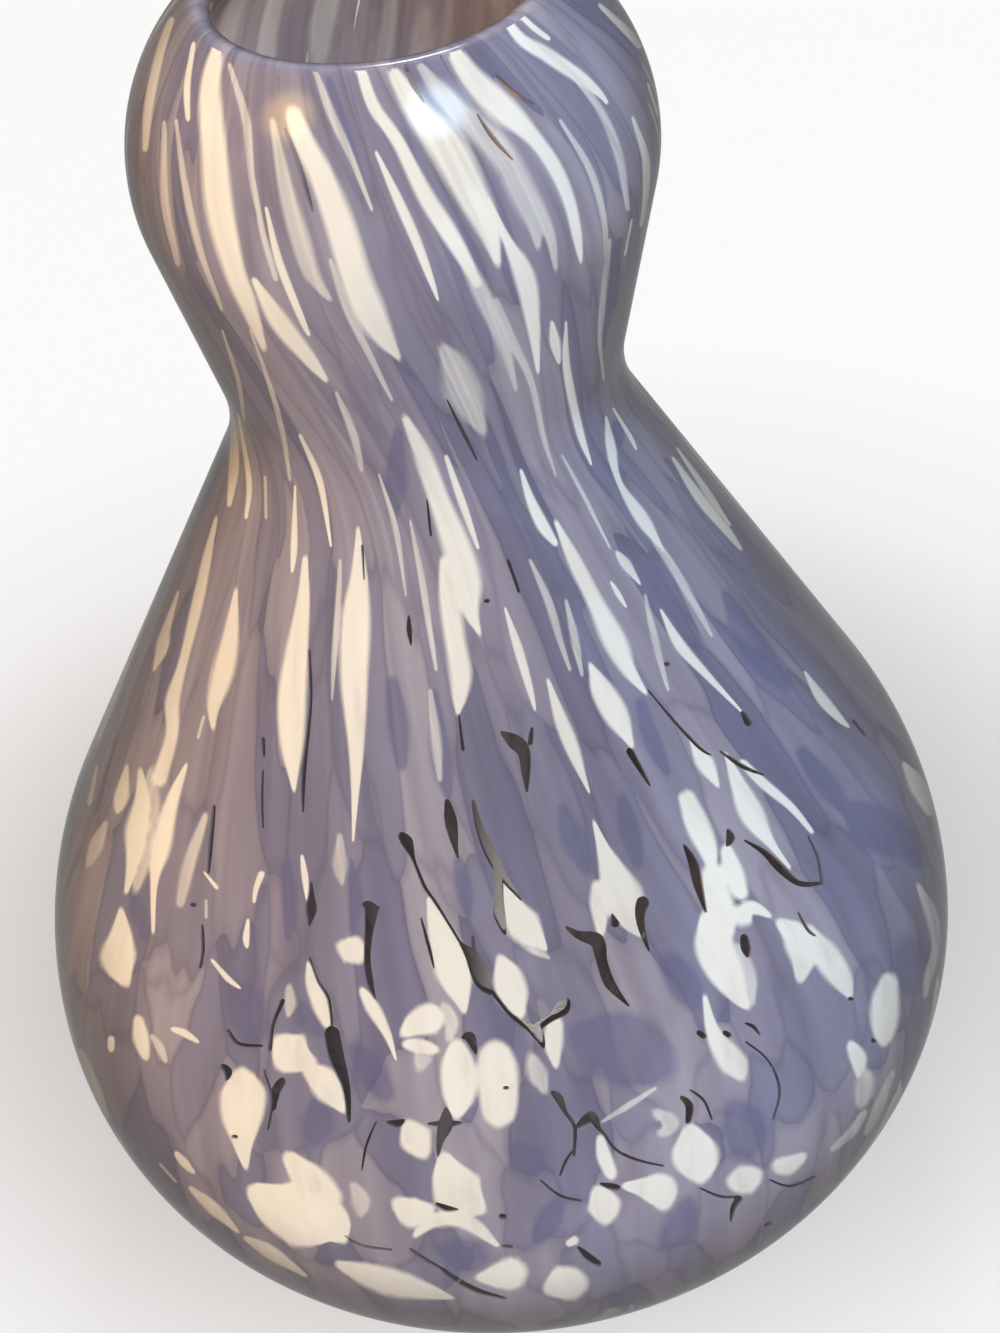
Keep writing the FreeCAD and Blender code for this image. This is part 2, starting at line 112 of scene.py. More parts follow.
def linear(code):
    """An sRGB hex colour as linear RGBA."""
    channels = [int(code[i:i + 2], 16) / 255 for i in (1, 3, 5)]
    return (*[c / 12.92 if c <= 0.04045 else ((c + 0.055) / 1.055) ** 2.4 for c in channels], 1)


# Outline

def run_angle(centre, radius, side):
    """Outward angle of the straight run that joins a convex arc to the waist's hollow arc."""
    waist = (WAIST_RADIUS + WAIST_CURVE, WAIST_HEIGHT)
    across, up = waist[0] - centre[0], waist[1] - centre[1]
    return math.atan2(up, across) - side * math.acos((radius + WAIST_CURVE) / math.hypot(across, up))


class Outline:
    """The outer surface's section, sampled finely from the foot to the lip.

    Distance along it is zero where the heel meets the belly. Each sample has its radius, height
    and outward direction. The glass was drawn out and twisted where it is narrower."""

    def __init__(self):
        lower_belly = (BELLY_RADIUS - LOWER_BELLY_CURVE, BELLY_HEIGHT)
        upper_belly = (BELLY_RADIUS - UPPER_BELLY_CURVE, BELLY_HEIGHT)
        waist = (WAIST_RADIUS + WAIST_CURVE, WAIST_HEIGHT)
        lower_bulb = (BULB_RADIUS - LOWER_BULB_CURVE, BULB_HEIGHT)
        upper_bulb = (BULB_RADIUS - UPPER_BULB_CURVE, BULB_HEIGHT)
        self.lip_centre = (MOUTH_RADIUS + WALL / 2, RIM_HEIGHT - WALL / 2)
        flank = run_angle(upper_belly, UPPER_BELLY_CURVE, 1)
        throat = run_angle(lower_bulb, LOWER_BULB_CURVE, -1)
        heel = math.atan2(HEEL_RADIUS - BELLY_HEIGHT, FOOT_RADIUS - lower_belly[0])
        self.lip_angle = math.atan2(
            self.lip_centre[1] - BULB_HEIGHT, self.lip_centre[0] - upper_bulb[0])
        rows = [(PONTIL_RADIUS, 0, 0, -1), (FOOT_RADIUS, 0, 0, -1)]

        def arc(centre, radius, low, high, outward=1):
            count = math.ceil(radius * abs(high - low) / OUTLINE_STEP)
            for step in range(count + 1):
                angle = low + (high - low) * step / count
                cosine, sine = math.cos(angle), math.sin(angle)
                rows.append((
                    centre[0] + radius * cosine, centre[1] + radius * sine,
                    outward * cosine, outward * sine))

        arc((FOOT_RADIUS, HEEL_RADIUS), HEEL_RADIUS, -math.pi / 2, heel)
        start = len(rows)
        arc(lower_belly, LOWER_BELLY_CURVE, heel, 0)
        arc(upper_belly, UPPER_BELLY_CURVE, 0, flank)
        arc(waist, WAIST_CURVE, math.pi + flank, math.pi + throat, -1)
        arc(lower_bulb, LOWER_BULB_CURVE, throat, 0)
        arc(upper_bulb, UPPER_BULB_CURVE, 0, self.lip_angle)
        lip_start = len(rows)
        arc(self.lip_centre, WALL / 2, self.lip_angle, self.lip_angle + LIP_WRAP)
        table = np.array(rows)
        steps = np.hypot(*np.diff(table[:, :2], axis=0).T)
        keep = np.r_[True, steps > OUTLINE_MERGE]
        self.distances = np.r_[0, np.cumsum(steps)][keep]
        self.distances -= np.r_[0, np.cumsum(steps)][start]
        self.radius, self.height, self.out_radius, self.out_height = table[keep].T
        self.rising = slice(1, int(np.count_nonzero(keep[:lip_start])))
        self.rim = float(self.distances[self.rising][-1])
        middle = (self.radius[1:] + self.radius[:-1]) / 2
        steps = np.diff(self.distances)
        thinned = np.clip((BELLY_RADIUS - middle) / (BELLY_RADIUS - WAIST_RADIUS), 0, 1)
        thinned[self.distances[1:] < self.distance_of_height(BELLY_HEIGHT)] = 0
        self.undrawn = np.r_[0, np.cumsum(steps * middle / BELLY_RADIUS)]
        self.twists = np.r_[0, np.cumsum(2 * math.pi * steps / TWIST_LENGTH * thinned ** 2)]
        self.low, self.high = self.distances[0], self.distances[-1]

    def look_up(self, column, distance):
        return np.interp(distance, self.distances, column)

    def at(self, distance, depth=0):
        """Radius and height at a distance along the outline and a depth under it."""
        radius = self.look_up(self.radius, distance) - depth * self.look_up(self.out_radius, distance)
        height = self.look_up(self.height, distance) - depth * self.look_up(self.out_height, distance)
        return radius, height

    def distance_of_height(self, height):
        return np.interp(height, self.height[self.rising], self.distances[self.rising])

    def radius_of_height(self, height):
        return np.interp(height, self.height[self.rising], self.radius[self.rising])


outline = Outline()
# Half the way round the unrolled layer, whose width is that of the belly.
HALF_TURN = math.pi * BELLY_RADIUS


def layer_depth(distance):
    """How deep the coloured layer lies at a distance along the outline."""
    return np.interp(
        distance, (outline.rim - LIP_BLEND, outline.rim), (LAYER_DEPTH, LIP_LAYER_DEPTH))


# Camera

BACK = Vector((0, -math.cos(PITCH), math.sin(PITCH)))
RIGHT = Vector((1, 0, 0))
UP = BACK.cross(RIGHT)
EYE = BACK * DISTANCE + Vector((AIM_RIGHT, 0, AIM_HEIGHT))


def pixel_ray(x, y):
    """Direction of the camera's ray through a pixel of the photograph."""
    across, down = x - FRAME_WIDTH / 2, y - FRAME_HEIGHT / 2
    right = (math.cos(ROLL) * across + math.sin(ROLL) * down) / FOCAL_PIXELS
    under = (-math.sin(ROLL) * across + math.cos(ROLL) * down) / FOCAL_PIXELS
    return (RIGHT * right - UP * under - BACK).normalized()


def pixel_of(point):
    """The pixel of the photograph that a point falls on."""
    seen = point - EYE
    depth = -seen.dot(BACK)
    right, under = seen.dot(RIGHT) / depth, -seen.dot(UP) / depth
    return (
        FRAME_WIDTH / 2 + FOCAL_PIXELS * (math.cos(ROLL) * right - math.sin(ROLL) * under),
        FRAME_HEIGHT / 2 + FOCAL_PIXELS * (math.sin(ROLL) * right + math.cos(ROLL) * under))


def outward(angle, distance):
    """The outer surface's outward direction at an angle round the axis and a distance up it."""
    out_radius = float(outline.look_up(outline.out_radius, distance))
    out_height = float(outline.look_up(outline.out_height, distance))
    return Vector((out_radius * math.sin(angle), -out_radius * math.cos(angle), out_height))


def meets_surface(x, y):
    """Where the ray through a pixel meets the outer surface, or None if it misses the vase."""
    direction = pixel_ray(x, y)

    def clearance(along):
        point = EYE + direction * along
        if not 0 < point.z < RIM_HEIGHT:
            return 1.0
        return math.hypot(point.x, point.y) - float(outline.radius_of_height(point.z))

    along = RAY_NEAR
    while along < RAY_FAR:
        if clearance(along + RAY_STEP) <= 0:
            low, high = along, along + RAY_STEP
            for _ in range(RAY_HALVINGS):
                middle = (low + high) / 2
                if clearance(middle) > 0:
                    low = middle
                else:
                    high = middle
            return EYE + direction * high, direction
        along += RAY_STEP
    return None


def layer_place(x, y):
    """The unrolled place on the coloured layer that is seen through the casing at a pixel."""
    found = meets_surface(x, y)
    if found is None:
        return None
    point, direction = found
    distance = float(outline.distance_of_height(point.z))
    angle = math.atan2(point.x, -point.y)
    normal = outward(angle, distance)
    cosine = -direction.dot(normal)
    inside = math.sqrt(1 - (1 - cosine ** 2) / GLASS_IOR ** 2)
    bent = direction / GLASS_IOR + normal * (cosine / GLASS_IOR - inside)
    shift = bent * (LAYER_DEPTH / inside)
    along = normal.cross(Vector((math.cos(angle), math.sin(angle), 0)))
    point = point + shift
    return math.atan2(point.x, -point.y) * BELLY_RADIUS, distance + shift.dot(along)


def nearest_place(x, y):
    """As layer_place, but a pixel just outside the vase is moved towards its middle first."""
    middle = FRAME_WIDTH / 2 - math.sin(ROLL) * (y - FRAME_HEIGHT / 2)
    for _ in range(NUDGES):
        place = layer_place(x, y)
        if place is not None:
            return place
        x += NUDGE_PIXELS if x < middle else -NUDGE_PIXELS
    return None


# Chips that the photograph shows, drawn as strokes. Each stroke is a list of places in the
# photograph, across and down, with the stroke's width there, all in its pixels.
BULB_WHITES = [
    [(225, 36, 8), (211, 90, 19), (214, 150, 22), (220, 210, 24), (234, 270, 18),
     (248, 305, 15), (264, 348, 5)],
    [(172, 20, 7), (158, 60, 8), (148, 110, 8), (145, 150, 5)],
    [(196, 45, 4), (187, 90, 6), (188, 120, 4)],
    [(292, 112, 14), (303, 140, 18), (324, 182, 22), (340, 226, 25), (355, 276, 26), (368, 310, 28),
     (386, 340, 16), (399, 358, 4)],
    [(266, 208, 3), (279, 262, 7), (301, 318, 6), (309, 335, 3)],
    [(358, 58, 8), (373, 105, 11), (398, 142, 11), (425, 195, 15), (446, 228, 15),
     (465, 260, 12), (477, 284, 8)],
    [(376, 152, 3), (398, 200, 9), (417, 243, 9), (431, 280, 6), (438, 300, 2)],
    [(392, 72, 10), (418, 112, 22), (447, 148, 32), (470, 190, 28), (486, 222, 22), (498, 264, 6)],
    [(447, 44, 10), (468, 75, 18), (502, 108, 24), (533, 137, 14), (555, 168, 13), (570, 203, 11),
     (578, 242, 8), (581, 262, 3)],
    [(488, 200, 4), (507, 240, 8), (525, 278, 18), (533, 325, 12), (538, 372, 3)],
    [(497, 12, 6), (518, 40, 10), (548, 56, 12), (578, 76, 12), (600, 94, 6), (607, 103, 3)],
    [(506, 8, 4), (532, 30, 5), (548, 40, 4)],
    [(633, 118, 3), (646, 160, 7), (645, 205, 5), (641, 226, 3)],
    [(600, 5, 4), (628, 32, 7), (640, 47, 5)],
    [(632, 220, 2), (625, 255, 2)],
    [(648, 84, 2), (659, 118, 3)],
]
BULB_FAINTS = [
    [(164, 122, 4), (165, 200, 8), (178, 265, 5)],
    [(272, 120, 6), (286, 190, 14), (300, 240, 18), (312, 275, 14), (330, 300, 4)],
    [(500, 145, 8), (512, 172, 22), (525, 198, 24), (535, 225, 16), (538, 248, 5)],
    [(254, 180, 3), (262, 230, 6), (276, 280, 5)],
    [(560, 120, 3), (590, 170, 7), (604, 220, 6), (606, 260, 3)],
    [(316, 70, 4), (330, 110, 8), (352, 160, 6), (372, 210, 3)],
    [(418, 66, 6), (450, 104, 20), (492, 142, 26), (520, 182, 22), (548, 230, 12), (556, 270, 4)],
    [(455, 240, 6), (480, 290, 16), (502, 340, 12), (516, 390, 4)],
    [(560, 60, 4), (600, 110, 8), (620, 160, 8), (628, 210, 4)],
    [(232, 66, 4), (246, 120, 8), (252, 180, 6), (262, 230, 3)],
    [(176, 120, 3), (184, 180, 6), (200, 250, 6), (222, 310, 3)],
    [(330, 260, 4), (348, 310, 8), (372, 360, 6), (392, 400, 3)],
    [(610, 240, 3), (604, 290, 6), (600, 340, 4), (604, 380, 2)],
]
WAIST_WHITES = [
    [(405, 418, 6), (423, 455, 16), (439, 500, 18), (454, 540, 24), (466, 580, 26), (471, 612, 14),
     (480, 634, 3)],
    [(444, 560, 8), (449, 600, 17), (455, 640, 18), (461, 675, 20), (459, 700, 12), (458, 714, 3)],
    [(446, 456, 4), (463, 505, 7), (478, 548, 3)],
    [(556, 522, 4), (574, 560, 12), (594, 600, 14), (614, 640, 20), (630, 672, 12), (646, 693, 3)],
    [(521, 470, 3), (530, 498, 8), (543, 526, 11), (556, 544, 5)],
    [(254, 280, 5), (278, 320, 16), (310, 360, 12), (326, 380, 4)],
    [(300, 435, 3), (320, 482, 6), (331, 546, 2)],
    [(233, 420, 3), (234, 465, 9), (229, 505, 4)],
    [(238, 414, 2), (249, 480, 5), (246, 518, 3)],
    [(295, 486, 2), (294, 550, 6), (292, 572, 2)],
    [(552, 322, 3), (555, 343, 10), (559, 363, 3)],
    [(566, 322, 2), (567, 370, 7), (580, 432, 7), (591, 464, 2)],
    [(606, 417, 2), (611, 448, 9), (619, 482, 5), (643, 520, 12), (663, 550, 2)],
    [(613, 408, 2), (630, 436, 4), (636, 449, 2)],
    [(673, 458, 3), (700, 498, 9), (728, 532, 7), (741, 549, 3)],
    [(677, 448, 2), (706, 490, 6), (730, 525, 2)],
    [(725, 490, 2), (757, 521, 6), (772, 533, 3)],
]
WAIST_FAINTS = [
    [(441, 345, 6), (452, 362, 24), (463, 390, 34), (472, 410, 26), (484, 434, 6)],
    [(496, 300, 6), (513, 342, 9), (531, 382, 6), (544, 440, 5), (556, 476, 2)],
    [(379, 474, 2), (396, 530, 5), (406, 596, 2)],
    [(562, 455, 2), (584, 496, 4), (610, 548, 2)],
    [(265, 476, 3), (266, 518, 3)],
    [(336, 392, 3), (352, 430, 8), (362, 470, 4)],
    [(250, 330, 2), (268, 380, 4), (282, 430, 5), (290, 480, 3)],
    [(222, 330, 2), (238, 380, 4), (244, 420, 3)],
    [(340, 560, 3), (338, 610, 6), (334, 660, 5), (332, 700, 2)],
    [(410, 520, 2), (420, 570, 6), (428, 620, 6), (436, 670, 3)],
    [(530, 560, 3), (548, 600, 8), (560, 640, 6), (570, 670, 3)],
    [(640, 520, 3), (668, 560, 8), (692, 600, 7), (712, 636, 3)],
]
SHOULDER_WHITES = [
    [(590, 664, 3), (602, 690, 20), (618, 718, 21), (632, 746, 4)],
    [(548, 680, 3), (561, 720, 11), (573, 750, 12), (589, 792, 2)],
    [(661, 610, 2), (679, 644, 10), (703, 671, 7), (742, 712, 2)],
    [(617, 552, 3), (625, 563, 9), (640, 584, 2)],
    [(611, 582, 2), (618, 594, 5), (626, 607, 2)],
    [(690, 738, 2), (705, 763, 16), (718, 786, 3)],
    [(726, 754, 3), (738, 784, 14), (752, 815, 22), (772, 845, 8), (790, 868, 3)],
    [(742, 762, 7), (764, 784, 9), (792, 808, 7), (812, 832, 4)],
    [(686, 795, 14), (697, 825, 22), (708, 850, 18), (712, 868, 8)],
    [(805, 672, 2), (822, 699, 10), (841, 720, 6), (849, 727, 2)],
    [(904, 764, 4), (918, 785, 16), (931, 812, 10)],
    [(216, 518, 3), (206, 562, 8), (197, 605, 10), (183, 662, 8), (172, 702, 13),
     (172, 735, 11), (158, 782, 14)],
    [(236, 590, 3), (230, 640, 15), (222, 676, 19), (213, 708, 11), (213, 728, 3)],
    [(178, 592, 2), (166, 630, 8), (162, 648, 12), (154, 670, 2)],
    [(305, 558, 5), (303, 600, 12), (297, 650, 20), (292, 700, 26), (292, 745, 21), (294, 790, 3)],
    [(358, 528, 3), (359, 575, 15), (356, 620, 26), (354, 680, 25), (356, 750, 14), (355, 795, 7),
     (353, 842, 2)],
    [(505, 608, 2), (518, 648, 8), (530, 690, 6), (535, 710, 2)],
    [(186, 765, 3), (174, 795, 11), (168, 816, 14), (160, 850, 18), (154, 882, 7), (153, 932, 3)],
    [(140, 770, 4), (142, 800, 14), (137, 830, 22), (133, 862, 12), (126, 892, 4)],
    [(127, 766, 3), (121, 798, 13), (117, 812, 4)],
    [(204, 872, 2), (217, 888, 4)],
    [(262, 873, 6), (256, 888, 5), (254, 902, 3)],
    [(248, 920, 3), (246, 938, 6), (247, 947, 3)],
    [(302, 856, 3), (305, 878, 6), (307, 900, 2)],
]
SHOULDER_FAINTS = [
    [(152, 770, 10), (148, 820, 24), (142, 860, 18), (136, 890, 6)],
    [(97, 766, 3), (89, 804, 5)],
    [(106, 822, 4), (96, 845, 14), (88, 866, 5)],
    [(204, 716, 3), (198, 738, 3)],
    [(206, 815, 6), (190, 860, 12), (180, 905, 8)],
    [(340, 835, 5), (340, 866, 14), (342, 884, 4)],
    [(206, 900, 3), (206, 918, 3)],
    [(430, 690, 4), (436, 740, 9), (440, 780, 4)],
    [(566, 600, 3), (575, 640, 8), (582, 676, 3)],
    [(645, 595, 3), (655, 640, 7), (668, 690, 3)],
    [(918, 885, 4), (932, 915, 12), (936, 948, 8), (928, 978, 8), (925, 997, 4)],
    [(865, 1112, 6), (852, 1132, 9), (832, 1150, 5)],
    [(893, 1072, 5), (878, 1108, 10), (866, 1134, 5)],
    [(80, 1050, 4), (97, 1090, 9), (108, 1118, 3)],
]
BELLY_WHITES = [
    [(428, 898, 3), (436, 922, 17), (446, 948, 31), (454, 972, 34), (461, 996, 18), (464, 1012, 4)],
    [(503, 886, 6), (514, 908, 20), (524, 926, 32), (540, 942, 12), (546, 950, 3)],
    [(500, 958, 8), (507, 975, 26), (513, 998, 28), (520, 1016, 10)],
    [(594, 822, 3), (603, 848, 12), (614, 876, 28), (624, 900, 38), (634, 924, 20), (642, 936, 4)],
    [(597, 884, 10), (600, 906, 17), (601, 934, 6)],
    [(712, 868, 18), (716, 890, 26), (722, 915, 26), (728, 936, 12)],
    [(706, 914, 10), (712, 940, 34), (724, 968, 34), (740, 998, 16), (748, 1008, 4)],
    [(726, 848, 10), (733, 872, 18), (742, 896, 12)],
    [(741, 918, 22), (752, 907, 14), (770, 916, 4)],
    [(779, 922, 8), (796, 936, 26), (803, 958, 24), (800, 980, 8)],
    [(806, 930, 14), (826, 956, 24), (842, 980, 20), (850, 996, 6)],
    [(705, 997, 4), (711, 1026, 11), (722, 1048, 20), (736, 1066, 24), (742, 1078, 8)],
    [(555, 1020, 14), (553, 1044, 17), (556, 1066, 5)],
    [(403, 1034, 8), (416, 1024, 24), (432, 1018, 30), (441, 1016, 14)],
    [(405, 1044, 8), (420, 1046, 14), (436, 1050, 8)],
    [(457, 1044, 14), (458, 1064, 31), (459, 1096, 30), (456, 1116, 10)],
    [(494, 1049, 28), (497, 1072, 38), (499, 1108, 34), (499, 1120, 26)],
    [(341, 946, 12), (352, 950, 28), (360, 958, 14)],
    [(362, 990, 6), (373, 1008, 13), (388, 1036, 7), (396, 1060, 2)],
    [(308, 963, 3), (312, 984, 12), (323, 1008, 16), (327, 1026, 6)],
    [(121, 909, 4), (121, 936, 22), (118, 960, 34), (126, 984, 8)],
    [(138, 1018, 8), (141, 1040, 14), (146, 1058, 6)],
    [(111, 1038, 6), (111, 1050, 6)],
    [(172, 1029, 4), (184, 1033, 7), (198, 1042, 3)],
    [(212, 960, 3), (228, 979, 5), (240, 988, 2)],
    [(278, 1040, 16), (290, 1052, 42), (304, 1060, 24), (314, 1062, 8)],
    [(306, 1070, 10), (322, 1080, 28), (334, 1096, 22), (344, 1112, 4)],
    [(242, 1074, 20), (243, 1092, 42), (242, 1118, 38), (243, 1146, 18), (246, 1168, 5)],
    [(252, 1190, 16), (278, 1206, 48), (306, 1214, 66), (334, 1228, 40), (344, 1240, 10)],
    [(288, 1156, 12), (312, 1184, 34), (330, 1206, 30)],
    [(338, 1264, 6), (364, 1274, 20), (396, 1284, 24), (430, 1292, 14), (452, 1298, 3)],
    [(396, 1202, 12), (410, 1212, 28), (420, 1212, 26), (432, 1208, 8)],
    [(415, 1236, 5), (430, 1222, 12), (452, 1218, 13), (474, 1226, 13), (498, 1246, 4)],
    [(444, 1156, 12), (450, 1176, 36), (462, 1196, 50), (482, 1210, 12)],
    [(408, 1124, 12), (415, 1138, 30), (424, 1154, 14)],
    [(478, 1278, 6), (500, 1276, 26), (518, 1272, 30)],
    [(548, 1290, 12), (562, 1284, 34), (580, 1284, 26)],
    [(600, 1137, 6), (604, 1156, 13), (612, 1176, 10)],
    [(690, 1128, 14), (694, 1148, 42), (698, 1166, 40), (700, 1178, 20)],
    [(624, 1186, 6), (644, 1188, 20), (660, 1192, 36), (664, 1206, 14)],
    [(598, 1190, 14), (604, 1206, 32), (606, 1220, 16)],
    [(732, 1182, 16), (745, 1180, 28), (757, 1174, 16)],
    [(776, 1166, 12), (788, 1166, 17), (804, 1156, 7)],
    [(568, 1244, 6), (576, 1240, 8)],
    [(889, 978, 14), (885, 1004, 26), (884, 1030, 22), (884, 1042, 12)],
    [(850, 1044, 8), (858, 1058, 16), (859, 1076, 5)],
    [(176, 1153, 4), (184, 1163, 8), (194, 1173, 3)],
    [(190, 1188, 4), (213, 1208, 11), (238, 1232, 3)],
    [(245, 1238, 4), (270, 1252, 12), (306, 1276, 3)],
]
BELLY_FAINTS = [
    [(515, 934, 12), (532, 948, 10), (549, 958, 3)],
    [(289, 986, 6), (290, 1004, 12), (288, 1016, 4)],
    [(152, 1036, 4), (160, 1048, 8), (166, 1062, 4)],
    [(443, 1004, 6), (452, 1022, 14), (448, 1040, 6)],
    [(424, 1056, 20), (420, 1068, 10)],
    [(532, 1056, 8), (538, 1074, 20), (545, 1092, 6)],
    [(353, 1184, 6), (362, 1202, 18), (360, 1216, 6)],
    [(602, 1122, 3), (628, 1106, 6), (656, 1088, 3)],
    [(866, 1074, 16), (864, 1092, 18), (860, 1106, 8)],
    [(738, 946, 8), (748, 974, 16), (752, 1004, 6)],
    [(160, 1164, 3), (176, 1182, 3)],
    [(655, 1112, 8), (672, 1124, 18), (660, 1134, 8)],
]
# Gaps between the chips, where the clear glass lets one look into the dark hollow.
GAPS = [
    [(501, 732, 3), (515, 742, 16), (524, 752, 13), (526, 776, 8), (527, 792, 2)],
    [(532, 728, 3), (530, 744, 6)],
    [(409, 616, 2), (409, 630, 6), (411, 645, 2)],
    [(447, 800, 5), (451, 822, 13), (455, 846, 6), (458, 858, 2)],
    [(473, 800, 3), (479, 826, 8), (490, 852, 12), (503, 876, 9), (521, 900, 2)],
    [(498, 866, 10), (499, 895, 9), (499, 914, 12), (505, 934, 4)],
    [(400, 834, 6), (407, 842, 13), (413, 858, 4), (425, 888, 4), (434, 900, 3), (461, 944, 3)],
    [(421, 918, 2), (429, 948, 4), (434, 968, 2)],
    [(460, 943, 3), (472, 956, 14), (479, 972, 18), (484, 984, 16), (492, 994, 5)],
    [(473, 936, 3), (474, 956, 6)],
    [(490, 988, 5), (510, 1014, 5), (527, 1026, 7), (538, 1034, 12), (544, 1048, 3)],
    [(536, 1028, 9), (551, 1018, 8), (563, 1008, 16), (568, 1000, 6)],
    [(566, 927, 3), (580, 936, 9), (597, 940, 16), (602, 962, 11), (609, 982, 12),
     (618, 994, 7), (629, 1006, 2)],
    [(644, 900, 14), (640, 912, 11), (642, 930, 7), (649, 951, 2)],
    [(612, 914, 2), (616, 925, 10)],
    [(684, 845, 3), (693, 862, 10), (698, 884, 10), (706, 912, 3)],
    [(698, 1032, 5), (705, 1037, 6)],
    [(724, 1032, 5), (730, 1036, 6)],
    [(745, 1023, 2), (754, 1027, 4), (760, 1035, 2)],
    [(462, 1038, 3), (470, 1036, 12), (476, 1054, 3)],
    [(552, 1092, 4), (559, 1098, 9), (566, 1114, 4), (575, 1127, 4), (574, 1156, 3)],
    [(576, 1128, 4), (592, 1116, 13), (598, 1128, 5), (607, 1136, 2)],
    [(681, 1097, 4), (690, 1106, 9), (688, 1123, 6)],
    [(363, 904, 5), (371, 908, 14), (369, 930, 9), (367, 958, 7), (370, 982, 7), (375, 999, 2)],
    [(366, 908, 4), (379, 908, 5)],
    [(311, 882, 2), (311, 898, 8), (311, 910, 12), (309, 926, 2)],
    [(310, 958, 2), (318, 982, 3), (328, 997, 4), (332, 1025, 3)],
    [(331, 1030, 16), (336, 1056, 16), (346, 1088, 9), (349, 1122, 4)],
    [(283, 1000, 5), (273, 1024, 4), (270, 1050, 4)],
    [(228, 1030, 4), (238, 1044, 4), (262, 1046, 3)],
    [(222, 1066, 6), (228, 1072, 10), (226, 1080, 4)],
    [(283, 1080, 8), (275, 1092, 10), (274, 1110, 4)],
    [(387, 1122, 3), (398, 1124, 9), (404, 1120, 3)],
    [(446, 1108, 4), (446, 1124, 16), (440, 1140, 8), (438, 1156, 3)],
    [(428, 1124, 3), (446, 1124, 8), (462, 1123, 3)],
    [(436, 1204, 4), (446, 1209, 8), (458, 1210, 3)],
    [(410, 1249, 3), (424, 1259, 4), (440, 1268, 4)],
    [(440, 1268, 4), (458, 1281, 6), (480, 1292, 6), (506, 1299, 3)],
    [(502, 1246, 3), (512, 1247, 4)],
    [(578, 1247, 3), (588, 1257, 8), (600, 1265, 6)],
    [(600, 1184, 3), (612, 1187, 8), (620, 1188, 4)],
    [(740, 1198, 8), (733, 1208, 6), (731, 1222, 2)],
    [(728, 830, 4), (731, 838, 10), (727, 846, 3)],
    [(744, 840, 2), (764, 852, 6), (780, 868, 9), (800, 884, 6), (820, 883, 4)],
    [(822, 884, 3), (818, 858, 3), (808, 836, 2)],
    [(744, 936, 8), (746, 948, 11), (748, 957, 4)],
    [(798, 912, 2), (808, 930, 4), (816, 936, 2)],
    [(872, 1040, 4), (876, 1042, 4)],
    [(263, 738, 4), (264, 756, 3)],
    [(263, 770, 2), (262, 795, 3), (263, 828, 2)],
    [(214, 806, 4), (211, 840, 5), (208, 874, 3)],
    [(309, 650, 3), (311, 700, 3), (306, 750, 4), (303, 782, 5), (303, 812, 2)],
    [(447, 400, 2), (464, 434, 4), (477, 460, 2)],
    [(427, 500, 2), (431, 536, 3)],
    [(362, 545, 3), (364, 580, 2)],
    [(459, 715, 2), (463, 750, 4)],
    [(508, 560, 3), (519, 592, 3)],
    [(629, 750, 8), (642, 772, 5), (650, 786, 2)],
    [(648, 690, 2), (675, 722, 3), (700, 748, 4), (711, 755, 2)],
    [(720, 751, 2), (742, 766, 5), (764, 775, 2)],
    [(742, 712, 4), (749, 724, 8)],
    [(853, 720, 3), (865, 735, 3)],
    [(285, 128, 3), (298, 162, 5), (307, 192, 5), (313, 212, 2)],
    [(401, 52, 3), (411, 82, 5), (424, 103, 2)],
    [(438, 42, 3), (440, 60, 2)],
    [(477, 114, 2), (493, 138, 5), (513, 160, 2)],
    [(495, 75, 2), (514, 93, 5), (534, 104, 2)],
    [(202, 925, 3), (203, 950, 4), (200, 968, 3)],
    [(765, 1226, 4), (771, 1223, 4)],
    [(602, 1130, 2), (616, 1150, 3), (640, 1161, 3), (664, 1166, 2)],
    [(690, 1090, 2), (704, 1100, 3), (712, 1120, 2)],
    [(700, 1188, 2), (720, 1197, 3), (740, 1197, 3)],
    [(770, 1180, 2), (790, 1187, 3), (816, 1176, 2)],
    [(540, 1180, 2), (560, 1196, 3), (582, 1201, 2)],
    [(746, 1042, 2), (768, 1060, 2), (780, 1090, 3), (773, 1120, 2)],
    [(560, 1176, 2), (566, 1160, 3), (574, 1150, 2)],
    [(376, 1122, 2), (366, 1146, 3), (362, 1170, 2)],
    [(264, 1070, 2), (272, 1100, 3), (268, 1130, 2)],
    [(345, 1236, 2), (362, 1246, 3), (392, 1250, 2)],
    [(665, 664, 4), (669, 664, 4)],
    [(485, 601, 4), (489, 601, 4)],
    [(232, 1137, 4), (237, 1137, 4)],
    [(504, 1088, 4), (508, 1088, 4)],
    [(849, 999, 4), (853, 999, 4)],
    [(191, 905, 4), (195, 905, 4)],
    [(500, 1217, 6), (505, 1217, 6)],
]
